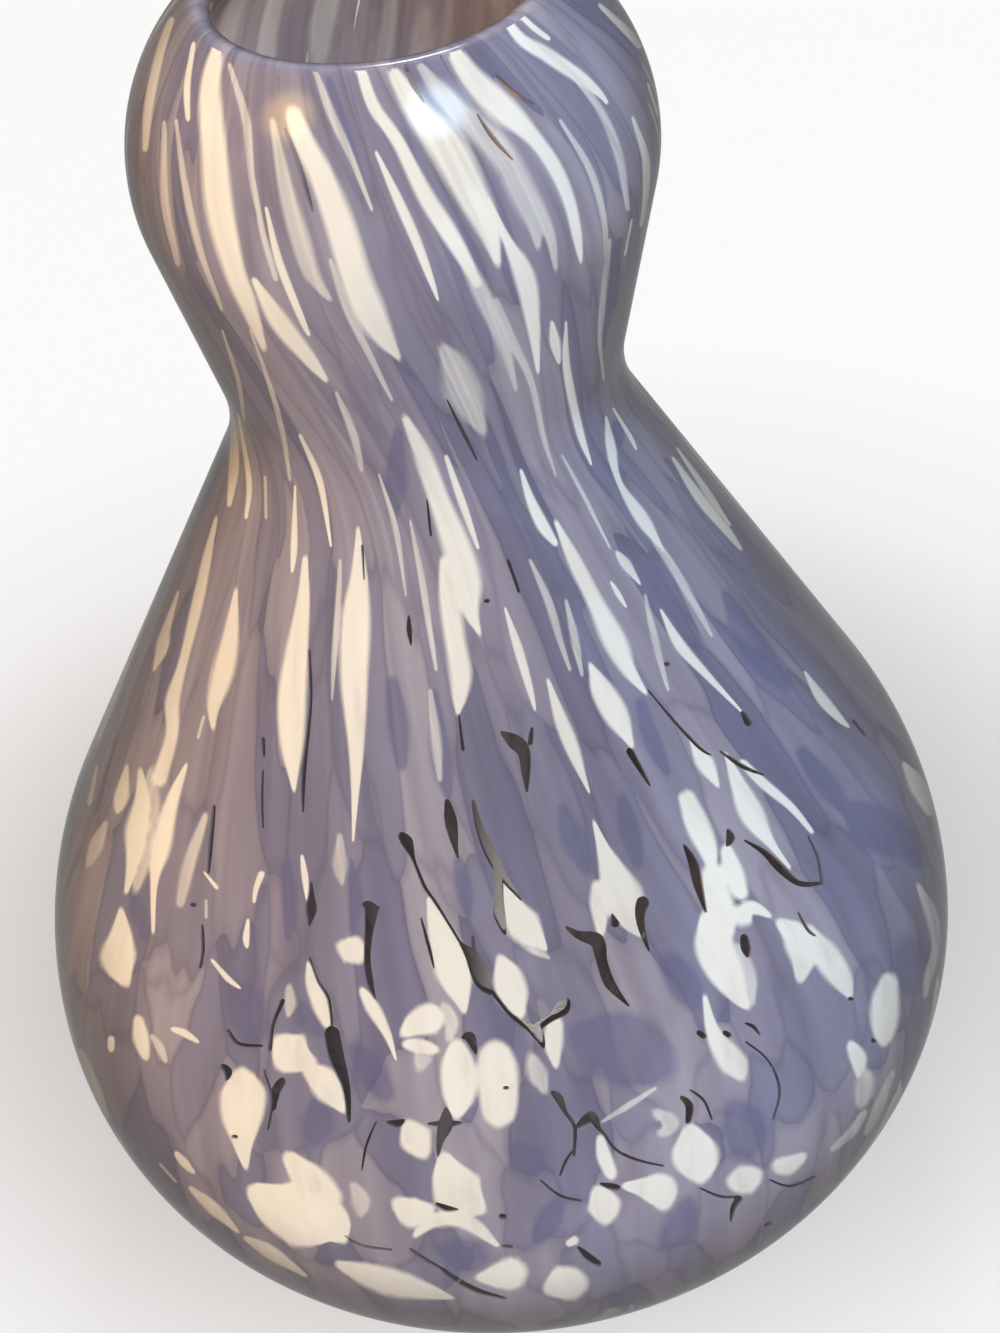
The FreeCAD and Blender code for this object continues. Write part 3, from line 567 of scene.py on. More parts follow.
# Chips of deeper violet glass.
VIOLETS = [
    [(725, 592, 8), (745, 632, 28), (768, 664, 28), (788, 688, 10)],
    [(236, 985, 22), (246, 1008, 42), (252, 1030, 36), (250, 1044, 16)],
    [(292, 1000, 8), (306, 1016, 26), (318, 1034, 14)],
    [(574, 1034, 24), (596, 1042, 60), (634, 1052, 74), (664, 1068, 44)],
    [(668, 960, 22), (684, 985, 34), (698, 1006, 16)],
    [(562, 806, 10), (572, 840, 22), (588, 872, 10)],
    [(622, 796, 10), (630, 832, 22), (638, 866, 10)],
    [(352, 1046, 14), (372, 1072, 30), (388, 1098, 18)],
    [(318, 1096, 12), (318, 1122, 34), (312, 1142, 20)],
    [(444, 1250, 22), (466, 1256, 38), (484, 1258, 24)],
    [(398, 430, 8), (396, 480, 24), (392, 518, 10)],
    [(392, 680, 12), (398, 725, 22), (402, 768, 10)],
    [(434, 690, 6), (442, 760, 22), (448, 796, 8)],
    [(732, 1104, 22), (744, 1130, 48), (742, 1156, 26)],
    [(846, 806, 14), (872, 826, 50), (908, 846, 34), (918, 866, 12)],
    [(908, 944, 30), (912, 968, 40), (906, 992, 18)],
    [(492, 1000, 14), (512, 1036, 32), (526, 1076, 14)],
    [(510, 1148, 12), (530, 1160, 34), (528, 1174, 14)],
    [(690, 1200, 16), (682, 1224, 34), (664, 1244, 18)],
    [(350, 860, 6), (356, 900, 14), (352, 930, 6)],
    [(286, 862, 8), (290, 900, 16), (288, 940, 6)],
    [(458, 858, 8), (464, 890, 18), (468, 918, 6)],
    [(640, 700, 10), (652, 740, 18), (668, 774, 8)],
    [(800, 750, 12), (826, 784, 26), (846, 812, 10)],
    [(560, 1200, 14), (548, 1222, 26), (536, 1240, 12)],
    [(620, 240, 8), (608, 300, 14), (600, 350, 8)],
    [(180, 150, 6), (186, 200, 12), (196, 260, 6)],
    [(615, 422, 8), (618, 432, 14), (619, 444, 8)],
    [(330, 80, 6), (344, 130, 14), (362, 180, 6)],
    [(135, 890, 8), (138, 915, 16), (146, 940, 6)],
]

# How strongly a chip's own colour covers the lavender glass.
WHITE, FAINT = 1.0, 0.55
DRAWN_VIOLET, HIDDEN_VIOLET = 0.62, 0.75

# Softness of a chip's edge, in millimetres, and its largest share of the chip's half width. The
# softness lies partly outside the drawn stroke, up to its border, and partly inside, up to its core.
WHITE_SOFTNESS, VIOLET_SOFTNESS, FAINT_SOFTNESS = 1.0, 2.0, 1.8
DRAWN_SOFTNESS, SHOULDER_SOFTNESS = 1.8, 0.9
SOFT_SHARE = 0.75
BORDER_SHARE, CORE_SHARE = 0.65, 0.35
# About how many of the photograph's pixels a millimetre of the vase takes.
PIXELS_PER_MM = 7.6
# A stroke's ends: how much of the inset they are drawn back by, their least half width in pixels and
# how blunt they are. Strokes shorter than a number of pixels are rounded once more than long ones.
END_SHARE = 0.75
LEAST_HALF_WIDTH = 0.3
BLUNTNESS = 3
SHORT_STROKE = 110
CORNER_CUTS = (0.25, 0.75)
# An outline with fewer corners than this on the vase is left out.
LEAST_CORNERS = 4


def spline(points, step):
    """Points on a smooth line through the given ones, about a step apart."""
    points = [Vector(point) for point in points]
    ends = [2 * points[0] - points[1], *points, 2 * points[-1] - points[-2]]
    line = []
    for before, start, end, after in zip(ends, ends[1:], ends[2:], ends[3:]):
        count = max(2, round((end - start).length / step))
        for index in range(count):
            t = index / count
            line.append((
                2 * start + (end - before) * t + (2 * before - 5 * start + 4 * end - after) * t ** 2
                + (3 * start - before - 3 * end + after) * t ** 3) / 2)
    line.append(points[-1])
    return line


def rounded(points, passes):
    """A closed line with its corners cut off a number of times."""
    for _ in range(passes):
        points = [
            start.lerp(end, share) for start, end in zip(points, points[1:] + points[:1])
            for share in CORNER_CUTS]
    return points


def stroke_outline(line, inset):
    """One closed line round a stroke, drawn in by the inset where the stroke is widest."""
    left, right = [], []
    last = len(line) - 1
    reach = 0
    widest = max(point.z for point in line)
    total = sum((a.xy - b.xy).length for a, b in zip(line, line[1:]))
    for index, point in enumerate(line):
        if index:
            reach += (point.xy - line[index - 1].xy).length
        if min(reach, total - reach) < inset * END_SHARE and 0 < index < last:
            continue
        way = (line[min(index + 1, last)] - line[max(index - 1, 0)]).xy.normalized()
        half_width = max(point.z / 2 - inset * point.z / widest, LEAST_HALF_WIDTH)
        aside = Vector((-way.y, way.x)) * half_width
        middle = point.xy.copy()
        if index == 0:
            middle += way * (inset * END_SHARE)
        if index == last:
            middle -= way * (inset * END_SHARE)
        left.append(middle + aside)
        right.append(middle - aside)

    def cap(end, way):
        middle, width = (left[end] + right[end]) / 2, (left[end] - right[end]).length
        return middle + way.xy.normalized() * width / BLUNTNESS

    caps = cap(0, line[0] - line[1]), cap(-1, line[-1] - line[-2])
    return rounded([caps[0], *left, caps[1], *reversed(right)], 2 if total < SHORT_STROKE else 1)


# A chip or gap in the unrolled layer: its kind, and how strong its colour is at its core. The colour
# grows from the border to the core's own outline. A shape without a core is crisp.
Shape = namedtuple("Shape", "kind level border core", defaults=[None])
shapes = []


def insets(inset):
    """How far a shape's border and core lie inside its drawn outline: one crisp outline for none."""
    return (-BORDER_SHARE * inset, CORE_SHARE * inset) if inset else (0,)


def add_strokes(kind, level, softness, strokes):
    """Lays the listed strokes on the wall, each with its border and its core."""
    for stroke in strokes:
        line = spline(stroke, STROKE_STEP_PIXELS)
        widest = max(point.z for point in line)
        outlines = []
        for inward in insets(min(softness * PIXELS_PER_MM, SOFT_SHARE * widest / 2)):
            places = [nearest_place(*point) for point in stroke_outline(line, inward)]
            outlines.append([place for place in places if place is not None])
        if all(len(places) >= LEAST_CORNERS for places in outlines):
            shapes.append(Shape(kind, level, *outlines))


add_strokes("white", WHITE, DRAWN_SOFTNESS, BULB_WHITES + WAIST_WHITES)
add_strokes("white", WHITE, SHOULDER_SOFTNESS, SHOULDER_WHITES)
add_strokes("white", WHITE, WHITE_SOFTNESS, BELLY_WHITES)
for strokes in (BULB_FAINTS, WAIST_FAINTS, SHOULDER_FAINTS, BELLY_FAINTS):
    add_strokes("white", FAINT, FAINT_SOFTNESS, strokes)
add_strokes("violet", DRAWN_VIOLET, VIOLET_SOFTNESS, VIOLETS)
add_strokes("gap", WHITE, 0, GAPS)


# Chips on the sides that the photograph doesn't show

HIDDEN_SEED = 11
HIDDEN_KINDS = [
    # kind, how many tries, half length, half width, softness and level
    ("gap", 170, (2.0, 7.5), (0.25, 0.9), 0, WHITE),
    ("white", 170, (4.5, 10.0), (2.0, 4.3), WHITE_SOFTNESS, WHITE),
    ("white", 200, (1.6, 6.5), (0.6, 1.9), WHITE_SOFTNESS, WHITE),
    ("white", 130, (3.0, 8.0), (1.2, 3.2), FAINT_SOFTNESS, FAINT),
    ("violet", 150, (4.0, 9.5), (2.6, 5.4), VIOLET_SOFTNESS, HIDDEN_VIOLET),
]
# How far apart the hidden chips of a kind lie, on the undrawn bubble.
HIDDEN_SPACING = {"gap": 8.0, "white": 8.6, "violet": 11.0}
# How many corners a hidden chip's outline has, and how far the chip may lean to a side, widen towards
# one end and waver in size from corner to corner.
CHIP_CORNERS = 22
LEAN, TAIL, WOBBLE = (-0.3, 0.3), (-0.5, 0.5), (0.88, 1.12)
# How far the middle of a hidden chip keeps from the foot and the lip, and how far past that its ends
# may run.
FOOT_MARGIN, LIP_MARGIN = 4, 3
FOOT_OVERRUN, LIP_OVERRUN = 3, 2
# The layer starts this far outside the ground hollow, and ends on the inner side of the lip.
HOLLOW_MARGIN = 1
LAYER_BOTTOM = float(outline.low) + HOLLOW_MARGIN
LAYER_TOP = float(outline.high)
# How squarely a place has to face the camera to count as one that the photograph shows.
SEEN_FACING = 0.06


def is_seen(across, distance):
    """Whether a place on the layer faces the photograph's camera and lies in its frame."""
    angle = across / BELLY_RADIUS
    radius, height = outline.at(distance)
    point = Vector((radius * math.sin(angle), -radius * math.cos(angle), height))
    x, y = pixel_of(point)
    inside = 0 < x < FRAME_WIDTH and 0 < y < FRAME_HEIGHT
    return inside and outward(angle, distance).dot((EYE - point).normalized()) > SEEN_FACING


def wrap(across):
    """A place across the unrolled layer, brought back between the two sides of its seam."""
    return (across + HALF_TURN) % (2 * HALF_TURN) - HALF_TURN


def undrawn_to_layer(across, undrawn):
    """The unrolled place, drawn out and twisted, of a place on the bubble as it was rolled."""
    distance = float(np.interp(undrawn, outline.undrawn, outline.distances))
    return across - float(outline.look_up(outline.twists, distance)) * BELLY_RADIUS, distance


def add_hidden_chips():
    """Scatters chips like the photographed ones over the rest of the wall, each kind apart."""
    draw = random.Random(HIDDEN_SEED)
    low = outline.undrawn[0] + FOOT_MARGIN
    high = np.interp(LAYER_TOP, outline.distances, outline.undrawn) - LIP_MARGIN
    for kind, tries, lengths, widths, softness, level in HIDDEN_KINDS:
        taken = []
        for _ in range(tries):
            across, undrawn = draw.uniform(-HALF_TURN, HALF_TURN), draw.uniform(low, high)
            half_length, half_width = draw.uniform(*lengths), draw.uniform(*widths)
            lean, tail = draw.uniform(*LEAN), draw.uniform(*TAIL)
            wobble = [draw.uniform(*WOBBLE) for _ in range(CHIP_CORNERS)]
            middle = undrawn_to_layer(across, undrawn)
            wrapped = wrap(middle[0])
            if is_seen(wrapped, middle[1]):
                continue
            if any(math.hypot(wrap(across - x), undrawn - y) < HIDDEN_SPACING[kind] for x, y in taken):
                continue
            taken.append((across, undrawn))
            drawn = BELLY_RADIUS / float(outline.look_up(outline.radius, middle[1]))
            shift = wrapped - middle[0]
            outlines = []
            for inward in insets(min(softness * drawn ** 2, SOFT_SHARE * half_width)):
                places = []
                for corner in range(CHIP_CORNERS):
                    turn = 2 * math.pi * corner / CHIP_CORNERS
                    along = math.cos(turn) * (half_length * wobble[corner] - inward)
                    taper = 1 + tail * math.cos(turn)
                    aside = math.sin(turn) * (half_width * wobble[corner] * taper - inward)
                    place = undrawn_to_layer(
                        across + aside + along * lean * (1 - half_width / half_length),
                        min(max(undrawn + along, low - FOOT_OVERRUN), high + LIP_OVERRUN))
                    places.append((place[0] + shift, place[1]))
                outlines.append(places)
            shapes.append(Shape(kind, level, *outlines))


add_hidden_chips()


# Meshes

# In how many steps the wall's section passes its short stretches.
PONTIL_STEPS, LIP_STEPS, FILLET_STEPS, FLOOR_STEPS = 12, 12, 8, 10
# What lies over what: a later kind hides an earlier one, and a gap is left open.
KINDS = ["lavender", "violet", "white", "gap"]


def wall_profile():
    """The glass wall's whole section: ground hollow, foot, outside, lip, inside and floor."""
    profile = []
    dome = (PONTIL_RADIUS ** 2 + PONTIL_DEPTH ** 2) / (2 * PONTIL_DEPTH)
    for step in range(PONTIL_STEPS):
        radius = PONTIL_RADIUS * step / PONTIL_STEPS
        profile.append((radius, math.sqrt(dome ** 2 - radius ** 2) - dome + PONTIL_DEPTH))
    count = round((outline.rim - outline.low) / PROFILE_STEP)
    for step in range(count + 1):
        profile.append(outline.at(outline.low + (outline.rim - outline.low) * step / count))
    for step in range(1, LIP_STEPS):
        angle = outline.lip_angle + math.pi * step / LIP_STEPS
        profile.append((
            outline.lip_centre[0] + WALL / 2 * math.cos(angle),
            outline.lip_centre[1] + WALL / 2 * math.sin(angle)))
    centre = BELLY_RADIUS - LOWER_BELLY_CURVE
    reach = LOWER_BELLY_CURVE - WALL - FLOOR_FILLET
    fillet = -math.asin((BELLY_HEIGHT - FLOOR_HEIGHT - FLOOR_FILLET) / reach)
    heel = math.atan2(HEEL_RADIUS - BELLY_HEIGHT, FOOT_RADIUS - centre)
    foot = LOWER_BELLY_CURVE * (fillet - heel)
    count = round((outline.rim - foot) / PROFILE_STEP)
    for step in range(count + 1):
        profile.append(outline.at(outline.rim + (foot - outline.rim) * step / count, WALL))
    corner = (centre + reach * math.cos(fillet), BELLY_HEIGHT + reach * math.sin(fillet))
    for step in range(1, FILLET_STEPS + 1):
        angle = fillet + (-math.pi / 2 - fillet) * step / FILLET_STEPS
        profile.append((
            corner[0] + FLOOR_FILLET * math.cos(angle), corner[1] + FLOOR_FILLET * math.sin(angle)))
    for step in range(1, FLOOR_STEPS + 1):
        profile.append((corner[0] * (1 - step / FLOOR_STEPS), FLOOR_HEIGHT))
    return profile


def finish_mesh(mesh, name):
    """Turns a finished bmesh into a piece with smooth faces."""
    data = bpy.data.meshes.new(name)
    mesh.to_mesh(data)
    mesh.free()
    for polygon in data.polygons:
        polygon.use_smooth = True
    piece = bpy.data.objects.new(name, data)
    bpy.context.scene.collection.objects.link(piece)
    return piece


def build_wall():
    """Turns the wall's section round the axis."""
    mesh = bmesh.new()
    corners = [mesh.verts.new((radius * MM, 0, height * MM)) for radius, height in wall_profile()]
    edges = [mesh.edges.new(pair) for pair in zip(corners, corners[1:])]
    bmesh.ops.spin(
        mesh, geom=corners + edges, cent=(0, 0, 0), axis=(0, 0, 1), angle=2 * math.pi,
        steps=TURN_STEPS, use_merge=True, use_duplicate=False)
    bmesh.ops.remove_doubles(mesh, verts=mesh.verts, dist=WALL_MERGE)
    bmesh.ops.recalc_face_normals(mesh, faces=mesh.faces)
    return finish_mesh(mesh, "clear_glass_wall")


def placed_copies(shape):
    """Border and core of a shape, and their copy one turn on if it reaches over the seam."""
    shifts = [0]
    if min(x for x, _ in shape.border) < -HALF_TURN:
        shifts.append(2 * HALF_TURN)
    if max(x for x, _ in shape.border) > HALF_TURN:
        shifts.append(-2 * HALF_TURN)
    outlines = [shape.border] if shape.core is None else [shape.border, shape.core]
    return [[[(x + shift, y) for x, y in points] for points in outlines] for shift in shifts]


def distance_to(points, x, y):
    """Distance of many places from a closed outline."""
    nearest = np.full(len(x), np.inf)
    previous = points[-1]
    for current in points:
        (x0, y0), (x1, y1) = previous, current
        squared = max((x1 - x0) ** 2 + (y1 - y0) ** 2, NEVER_ZERO)
        along = np.clip(((x - x0) * (x1 - x0) + (y - y0) * (y1 - y0)) / squared, 0, 1)
        nearest = np.minimum(
            nearest, np.hypot(x - x0 - along * (x1 - x0), y - y0 - along * (y1 - y0)))
        previous = current
    return nearest


def inside_outline(points, x, y):
    """Which of many places lie inside a closed outline."""
    inside = np.zeros(len(x), bool)
    previous = points[-1]
    for current in points:
        (x0, y0), (x1, y1) = previous, current
        if y0 != y1:
            inside ^= ((y0 > y) != (y1 > y)) & (x < (x1 - x0) * (y - y0) / (y1 - y0) + x0)
        previous = current
    return inside


def inside_places(points, places):
    """Indices of the places that lie inside a closed outline."""
    low, high = np.min(points, axis=0), np.max(points, axis=0)
    near = np.flatnonzero(((places > low) & (places < high)).all(axis=1))
    return near[inside_outline(points, *places[near].T)]


def layer_grid():
    """Places in staggered rows over the unrolled layer, finer at the lip, and its border's edges."""
    columns = round(2 * HALF_TURN / LAYER_STEP)
    blend = outline.rim - LIP_BLEND
    heights = [
        *np.linspace(LAYER_BOTTOM, blend, round((blend - LAYER_BOTTOM) / LAYER_STEP)),
        *np.linspace(blend, LAYER_TOP, round((LAYER_TOP - blend) / LIP_STEP))[1:]]
    rows = len(heights) - 1
    places, edges = [], []
    for row, y in enumerate(heights):
        inset = (row % 2) / 2 if 0 < row < rows else 0
        for column in range(columns + 1):
            x = -HALF_TURN + 2 * HALF_TURN * column / columns
            if 0 < column < columns:
                x += inset * 2 * HALF_TURN / columns
            if row < rows and column in (0, columns):
                edges.append((len(places), len(places) + columns + 1))
            if row in (0, rows) and column < columns:
                edges.append((len(places), len(places) + 1))
            places.append((x, y))
    return places, edges


def unrolled_triangles():
    """Triangles of the unrolled layer that follow every outline, with their kind and levels."""
    places, edges = layer_grid()
    outlines = []
    for shape in shapes:
        for copy in placed_copies(shape):
            for points in copy:
                first = len(places)
                places.extend(points)
                edges.extend((first + i, first + (i + 1) % len(points)) for i in range(len(points)))
            outlines.append((shape, copy))
    found = delaunay_2d_cdt([Vector(place) for place in places], edges, [], 0, OUTLINE_MERGE, False)
    corners = np.array([tuple(corner) for corner in found[0]])
    triangles = np.array([tuple(face) for face in found[2] if len(face) == 3])
    middles = corners[triangles].mean(axis=1)
    x, y = middles.T
    inside = (np.abs(x) < HALF_TURN) & (y > LAYER_BOTTOM) & (y < LAYER_TOP)
    triangles, middles = triangles[inside], middles[inside]
    kinds = np.zeros(len(triangles), int)
    levels = {name: np.zeros(len(corners)) for name in KINDS}
    for shape, (border, *core) in outlines:
        near = inside_places(border, middles)
        kinds[near] = np.maximum(kinds[near], KINDS.index(shape.kind))
        if core:
            near = inside_places(border, corners)
            x, y = corners[near].T
            from_border, from_core = distance_to(border, x, y), distance_to(core[0], x, y)
            share = from_border / (from_border + from_core + NEVER_ZERO)
            share[inside_outline(core[0], x, y)] = 1
            levels[shape.kind][near] = np.maximum(levels[shape.kind][near], shape.level * share)
    return corners, triangles, kinds, levels


def build_layer(kind, corners, triangles, level):
    """Wraps one kind's triangles on the wall and gives them their thickness."""
    used, faces = np.unique(triangles, return_inverse=True)
    faces = faces.reshape(-1, 3)
    across, distance = corners[used].T
    angle = across / BELLY_RADIUS
    radius, height = outline.at(distance, layer_depth(distance))
    points = np.c_[radius * np.sin(angle), -radius * np.cos(angle), height] * MM
    radius, height = outline.at(distance, layer_depth(distance) + LAYER_THICKNESS)
    under = np.c_[radius * np.sin(angle), -radius * np.cos(angle), height] * MM
    flow_angle = angle + outline.look_up(outline.twists, distance)
    flow = np.c_[
        BELLY_RADIUS * np.cos(flow_angle), BELLY_RADIUS * np.sin(flow_angle),
        outline.look_up(outline.undrawn, distance)]
    mesh = bmesh.new()
    flow_layer = mesh.verts.layers.float_vector.new("flow")
    strength_layer = mesh.verts.layers.float.new("strength")
    inner_layer = mesh.verts.layers.float.new("inner")
    under_layer = mesh.verts.layers.float_vector.new("under")
    verts = []
    for point, below, drawn, strength in zip(points, under, flow, level[used]):
        vert = mesh.verts.new(point)
        vert[under_layer] = below
        vert[flow_layer] = drawn
        vert[strength_layer] = strength
        verts.append(vert)
    for a, b, c in faces:
        mesh.faces.new((verts[a], verts[b], verts[c]))
    bmesh.ops.remove_doubles(mesh, verts=mesh.verts, dist=LAYER_MERGE)
    bmesh.ops.dissolve_degenerate(mesh, dist=WALL_MERGE, edges=mesh.edges)
    made = bmesh.ops.extrude_face_region(mesh, geom=mesh.faces[:], use_keep_orig=True)
    for vert in made["geom"]:
        if isinstance(vert, bmesh.types.BMVert):
            vert.co = vert[under_layer]
            vert[inner_layer] = 1
    mesh.verts.layers.float_vector.remove(under_layer)
    bmesh.ops.recalc_face_normals(mesh, faces=mesh.faces)
    for edge in mesh.edges:
        edge.smooth = edge.calc_face_angle(0) < SHARP_ANGLE
    return finish_mesh(mesh, f"{kind}_chips")


# Materials

def add(material, kind, inputs=None, stops=(), **settings):
    """Adds a node with its settings and colour stops, and links or sets the inputs that are given."""
    node = material.node_tree.nodes.new(kind)
    for name, setting in settings.items():
        setattr(node, name, setting)
    for name, source in (inputs or {}).items():
        if isinstance(source, bpy.types.NodeSocket):
            material.node_tree.links.new(source, node.inputs[name])
        else:
            node.inputs[name].default_value = source
    for index, (place, code) in enumerate(stops):
        elements = node.color_ramp.elements
        element = elements[index] if index < len(elements) else elements.new(place)
        element.position = place
        element.color = linear(code)
    return node


def new_material(name):
    material = bpy.data.materials.new(name)
    material.use_nodes = True
    return material, material.node_tree.nodes["Principled BSDF"]


# Places of the mix node's sockets for colours, whose names are not unique.
MIX_FACTOR, MIX_A, MIX_B, MIX_RESULT = 0, 6, 7, 2

# Width and length, in millimetres on the undrawn bubble, of the lavender flakes, of the bends in their
# joins, of the streaks drawn through them and through their inner side, and of the white chips' frayed
# edges.
FLAKE, JOIN_BEND, STREAK, INNER_STREAK, FRAYED_EDGE = (9, 17), (6, 14), (4.5, 40), (5, 60), (1.6, 12)
BEND = 0.7

# Painted glow, not lamp light: the flakes' inner side emits its own colour as a stand-in for light
# that
# the thin wall lets through to the inside: dim in the belly, stronger in the bulb. The inner veil is
# the share of brown that the flakes show there.
GLOW_LOW, DIM_GLOW, GLOW = 140.0, 0.04, 0.5
INNER_VEIL = 0.65


def stretched(material, flow, size):
    """The flow place scaled so that one unit is a given width across and a given length along."""
    width, length = size
    node = add(material, "ShaderNodeVectorMath", {
        0: flow, 1: (1 / width, 1 / width, 1 / length)}, operation="MULTIPLY")
    return node.outputs["Vector"]


def lavender_tone(material, flow):
    """Colour of the lavender flakes: each its own tone, with drawn streaks and darker joins."""
    bend = add(material, "ShaderNodeTexNoise", {
        "Vector": stretched(material, flow, JOIN_BEND), "Scale": 1.0, "Detail": 1.0})
    place = add(material, "ShaderNodeVectorMath", {
        0: bend.outputs["Color"], 1: (BEND, BEND, BEND), 2: stretched(material, flow, FLAKE)},
        operation="MULTIPLY_ADD").outputs["Vector"]
    cell = add(material, "ShaderNodeTexVoronoi", {"Vector": place, "Scale": 1.0}, feature="F1")
    tone = add(material, "ShaderNodeSeparateColor", {"Color": cell.outputs["Color"]})
    flakes = add(
        material, "ShaderNodeValToRGB", {"Fac": tone.outputs["Red"]},
        ((0.05, "#7f7d9a"), (0.3, "#8e8ca6"), (0.6, "#9c96aa"), (0.95, "#aea8b7")))
    join = add(
        material, "ShaderNodeTexVoronoi", {"Vector": place, "Scale": 1.0}, feature="DISTANCE_TO_EDGE")
    seam = add(
        material, "ShaderNodeValToRGB", {"Fac": join.outputs["Distance"]},
        ((0.0, "#e6e4e8"), (0.08, "#ffffff")))
    streak = add(material, "ShaderNodeTexNoise", {
        "Vector": stretched(material, flow, STREAK), "Scale": 1.0, "Detail": 2.0, "Roughness": 0.5})
    veil = add(
        material, "ShaderNodeValToRGB", {"Fac": streak.outputs["Fac"]},
        ((0.3, "#dcd8dc"), (0.7, "#ffffff")))
    colour = flakes.outputs["Color"]
    for shade in (seam, veil):
        colour = add(material, "ShaderNodeMix", {
            MIX_FACTOR: 1.0, MIX_A: colour, MIX_B: shade.outputs["Color"]},
            data_type="RGBA", blend_type="MULTIPLY").outputs[MIX_RESULT]
    return colour


def chip_strength(material, flow, fraying):
    """How far the chip's own colour covers the lavender: it fades, a little unevenly, at the edge."""
    strength = add(material, "ShaderNodeAttribute", attribute_name="strength").outputs["Fac"]
    ragged = add(material, "ShaderNodeTexNoise", {
        "Vector": stretched(material, flow, FRAYED_EDGE), "Scale": 1.0, "Detail": 2.0})
    shifted = add(material, "ShaderNodeMath", {
        0: ragged.outputs["Fac"], 1: fraying, 2: strength}, operation="MULTIPLY_ADD")
    spread = add(material, "ShaderNodeMapRange", {
        "Value": shifted.outputs["Value"], "From Min": fraying / 2, "From Max": 1 + fraying / 2},
        interpolation_type="SMOOTHSTEP")
    return spread.outputs["Result"]


def flake_glass(kind, roughness, cloud=(1, 1), detail=0.0, colours=(), fraying=0.0):
    """One kind's flakes: their own clouded colour over lavender, and towards the hollow a veil of
    pinkish brown streaks with a painted glow, stronger up the bulb, that stands in for light shining
    through."""
    material, shader = new_material(f"{kind}_flake_glass")
    flow = add(material, "ShaderNodeAttribute", attribute_name="flow").outputs["Vector"]
    inner = add(material, "ShaderNodeAttribute", attribute_name="inner").outputs["Fac"]
    colour = lavender_tone(material, flow)
    if colours:
        clouds = add(material, "ShaderNodeTexNoise", {
            "Vector": stretched(material, flow, cloud), "Scale": 1.0, "Detail": detail})
        own = add(material, "ShaderNodeValToRGB", {"Fac": clouds.outputs["Fac"]}, colours)
        colour = add(material, "ShaderNodeMix", {
            MIX_FACTOR: chip_strength(material, flow, fraying), MIX_A: colour,
            MIX_B: own.outputs["Color"]}, data_type="RGBA").outputs[MIX_RESULT]
    band = add(material, "ShaderNodeTexNoise", {
        "Vector": stretched(material, flow, INNER_STREAK), "Scale": 1.0, "Detail": 2.0})
    veil = add(
        material, "ShaderNodeValToRGB", {"Fac": band.outputs["Fac"]},
        ((0.3, "#8f7770"), (0.7, "#bba497")))
    veiled = add(material, "ShaderNodeMix", {
        MIX_FACTOR: INNER_VEIL, MIX_A: colour, MIX_B: veil.outputs["Color"]}, data_type="RGBA")
    both = add(material, "ShaderNodeMix", {
        MIX_FACTOR: inner, MIX_A: colour, MIX_B: veiled.outputs[MIX_RESULT]},
        data_type="RGBA").outputs[MIX_RESULT]
    # Painted glow: the inner side's emission rises from dim in the belly to strong at the rim.
    place = add(material, "ShaderNodeTexCoord").outputs["Object"]
    height = add(material, "ShaderNodeSeparateXYZ", {"Vector": place}).outputs["Z"]
    painted_glow_by_height = add(material, "ShaderNodeMapRange", {
        "Value": height, "From Min": GLOW_LOW * MM, "From Max": RIM_HEIGHT * MM,
        "To Min": DIM_GLOW, "To Max": GLOW}).outputs["Result"]
    glow = add(material, "ShaderNodeMath", {0: painted_glow_by_height, 1: inner}, operation="MULTIPLY")
    link = material.node_tree.links.new
    link(both, shader.inputs["Base Color"])
    link(both, shader.inputs["Emission Color"])
    link(glow.outputs["Value"], shader.inputs["Emission Strength"])
    shader.inputs["Roughness"].default_value = roughness
    return material


FLAKES = {
    # Opaque lavender soda glass in flakes, melted flat into the bubble: to the eye a soft matt colour
    # that sits under clear glass, with each flake a slightly different tone.
    "lavender": {"roughness": 0.45},
    # Deeper violet soda glass: thicker flakes of the same colour, whose edge melts into the lavender.
    "violet": {
        "roughness": 0.45, "cloud": (5, 12), "detail": 2.0, "fraying": 0.25,
        "colours": ((0.3, "#5c5c82"), (0.7, "#6c6b92"))},
    # Opaque white soda glass, melted in: cream where it is thick, and thin enough at its edge for the
    # lavender under it to show.
    "white": {
        "roughness": 0.4, "cloud": (3.5, 10), "detail": 3.0, "fraying": 0.5,
        "colours": ((0.28, "#ebe7df"), (0.42, "#f6f3ec"), (0.7, "#fbf9f3"))},
}


# Clear soda-lime glass, blown and fire polished: mirror smooth, with a depth that shows at the gaps.
# Where one looks along the wall its colour is painted darker and slightly brown: painted shade for the
# dark surroundings mirrored at the edge, beyond the glass's own slight absorption along the longer
# path.
def clear_casing_glass():
    material, shader = new_material("clear_casing_glass")
    # Painted shade: the glass's colour darkens to brown towards its silhouette.
    edge = add(material, "ShaderNodeLayerWeight", {"Blend": 0.5})
    painted_rim_shade = add(
        material, "ShaderNodeValToRGB", {"Fac": edge.outputs["Facing"]},
        ((0.45, "#ffffff"), (0.68, "#a59b92"), (0.88, "#4a4541")))
    material.node_tree.links.new(painted_rim_shade.outputs["Color"], shader.inputs["Base Color"])
    shader.inputs["Transmission Weight"].default_value = 1
    shader.inputs["Roughness"].default_value = 0
    shader.inputs["IOR"].default_value = GLASS_IOR
    return material


corners, triangles, kinds, levels = unrolled_triangles()
for kind, glass in FLAKES.items():
    piece = build_layer(kind, corners, triangles[kinds == KINDS.index(kind)], levels[kind])
    piece.data.materials.append(flake_glass(kind, **glass))
    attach(piece, "root")
    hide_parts(*[f"{kind}_{zone}_chips" for zone in ("belly", "shoulder", "neck")])

wall = build_wall()
wall.data.materials.append(clear_casing_glass())
wall.visible_shadow = False
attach(wall, "root")
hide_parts("outer_casing", "inner_gather")


# Stage, lights and camera

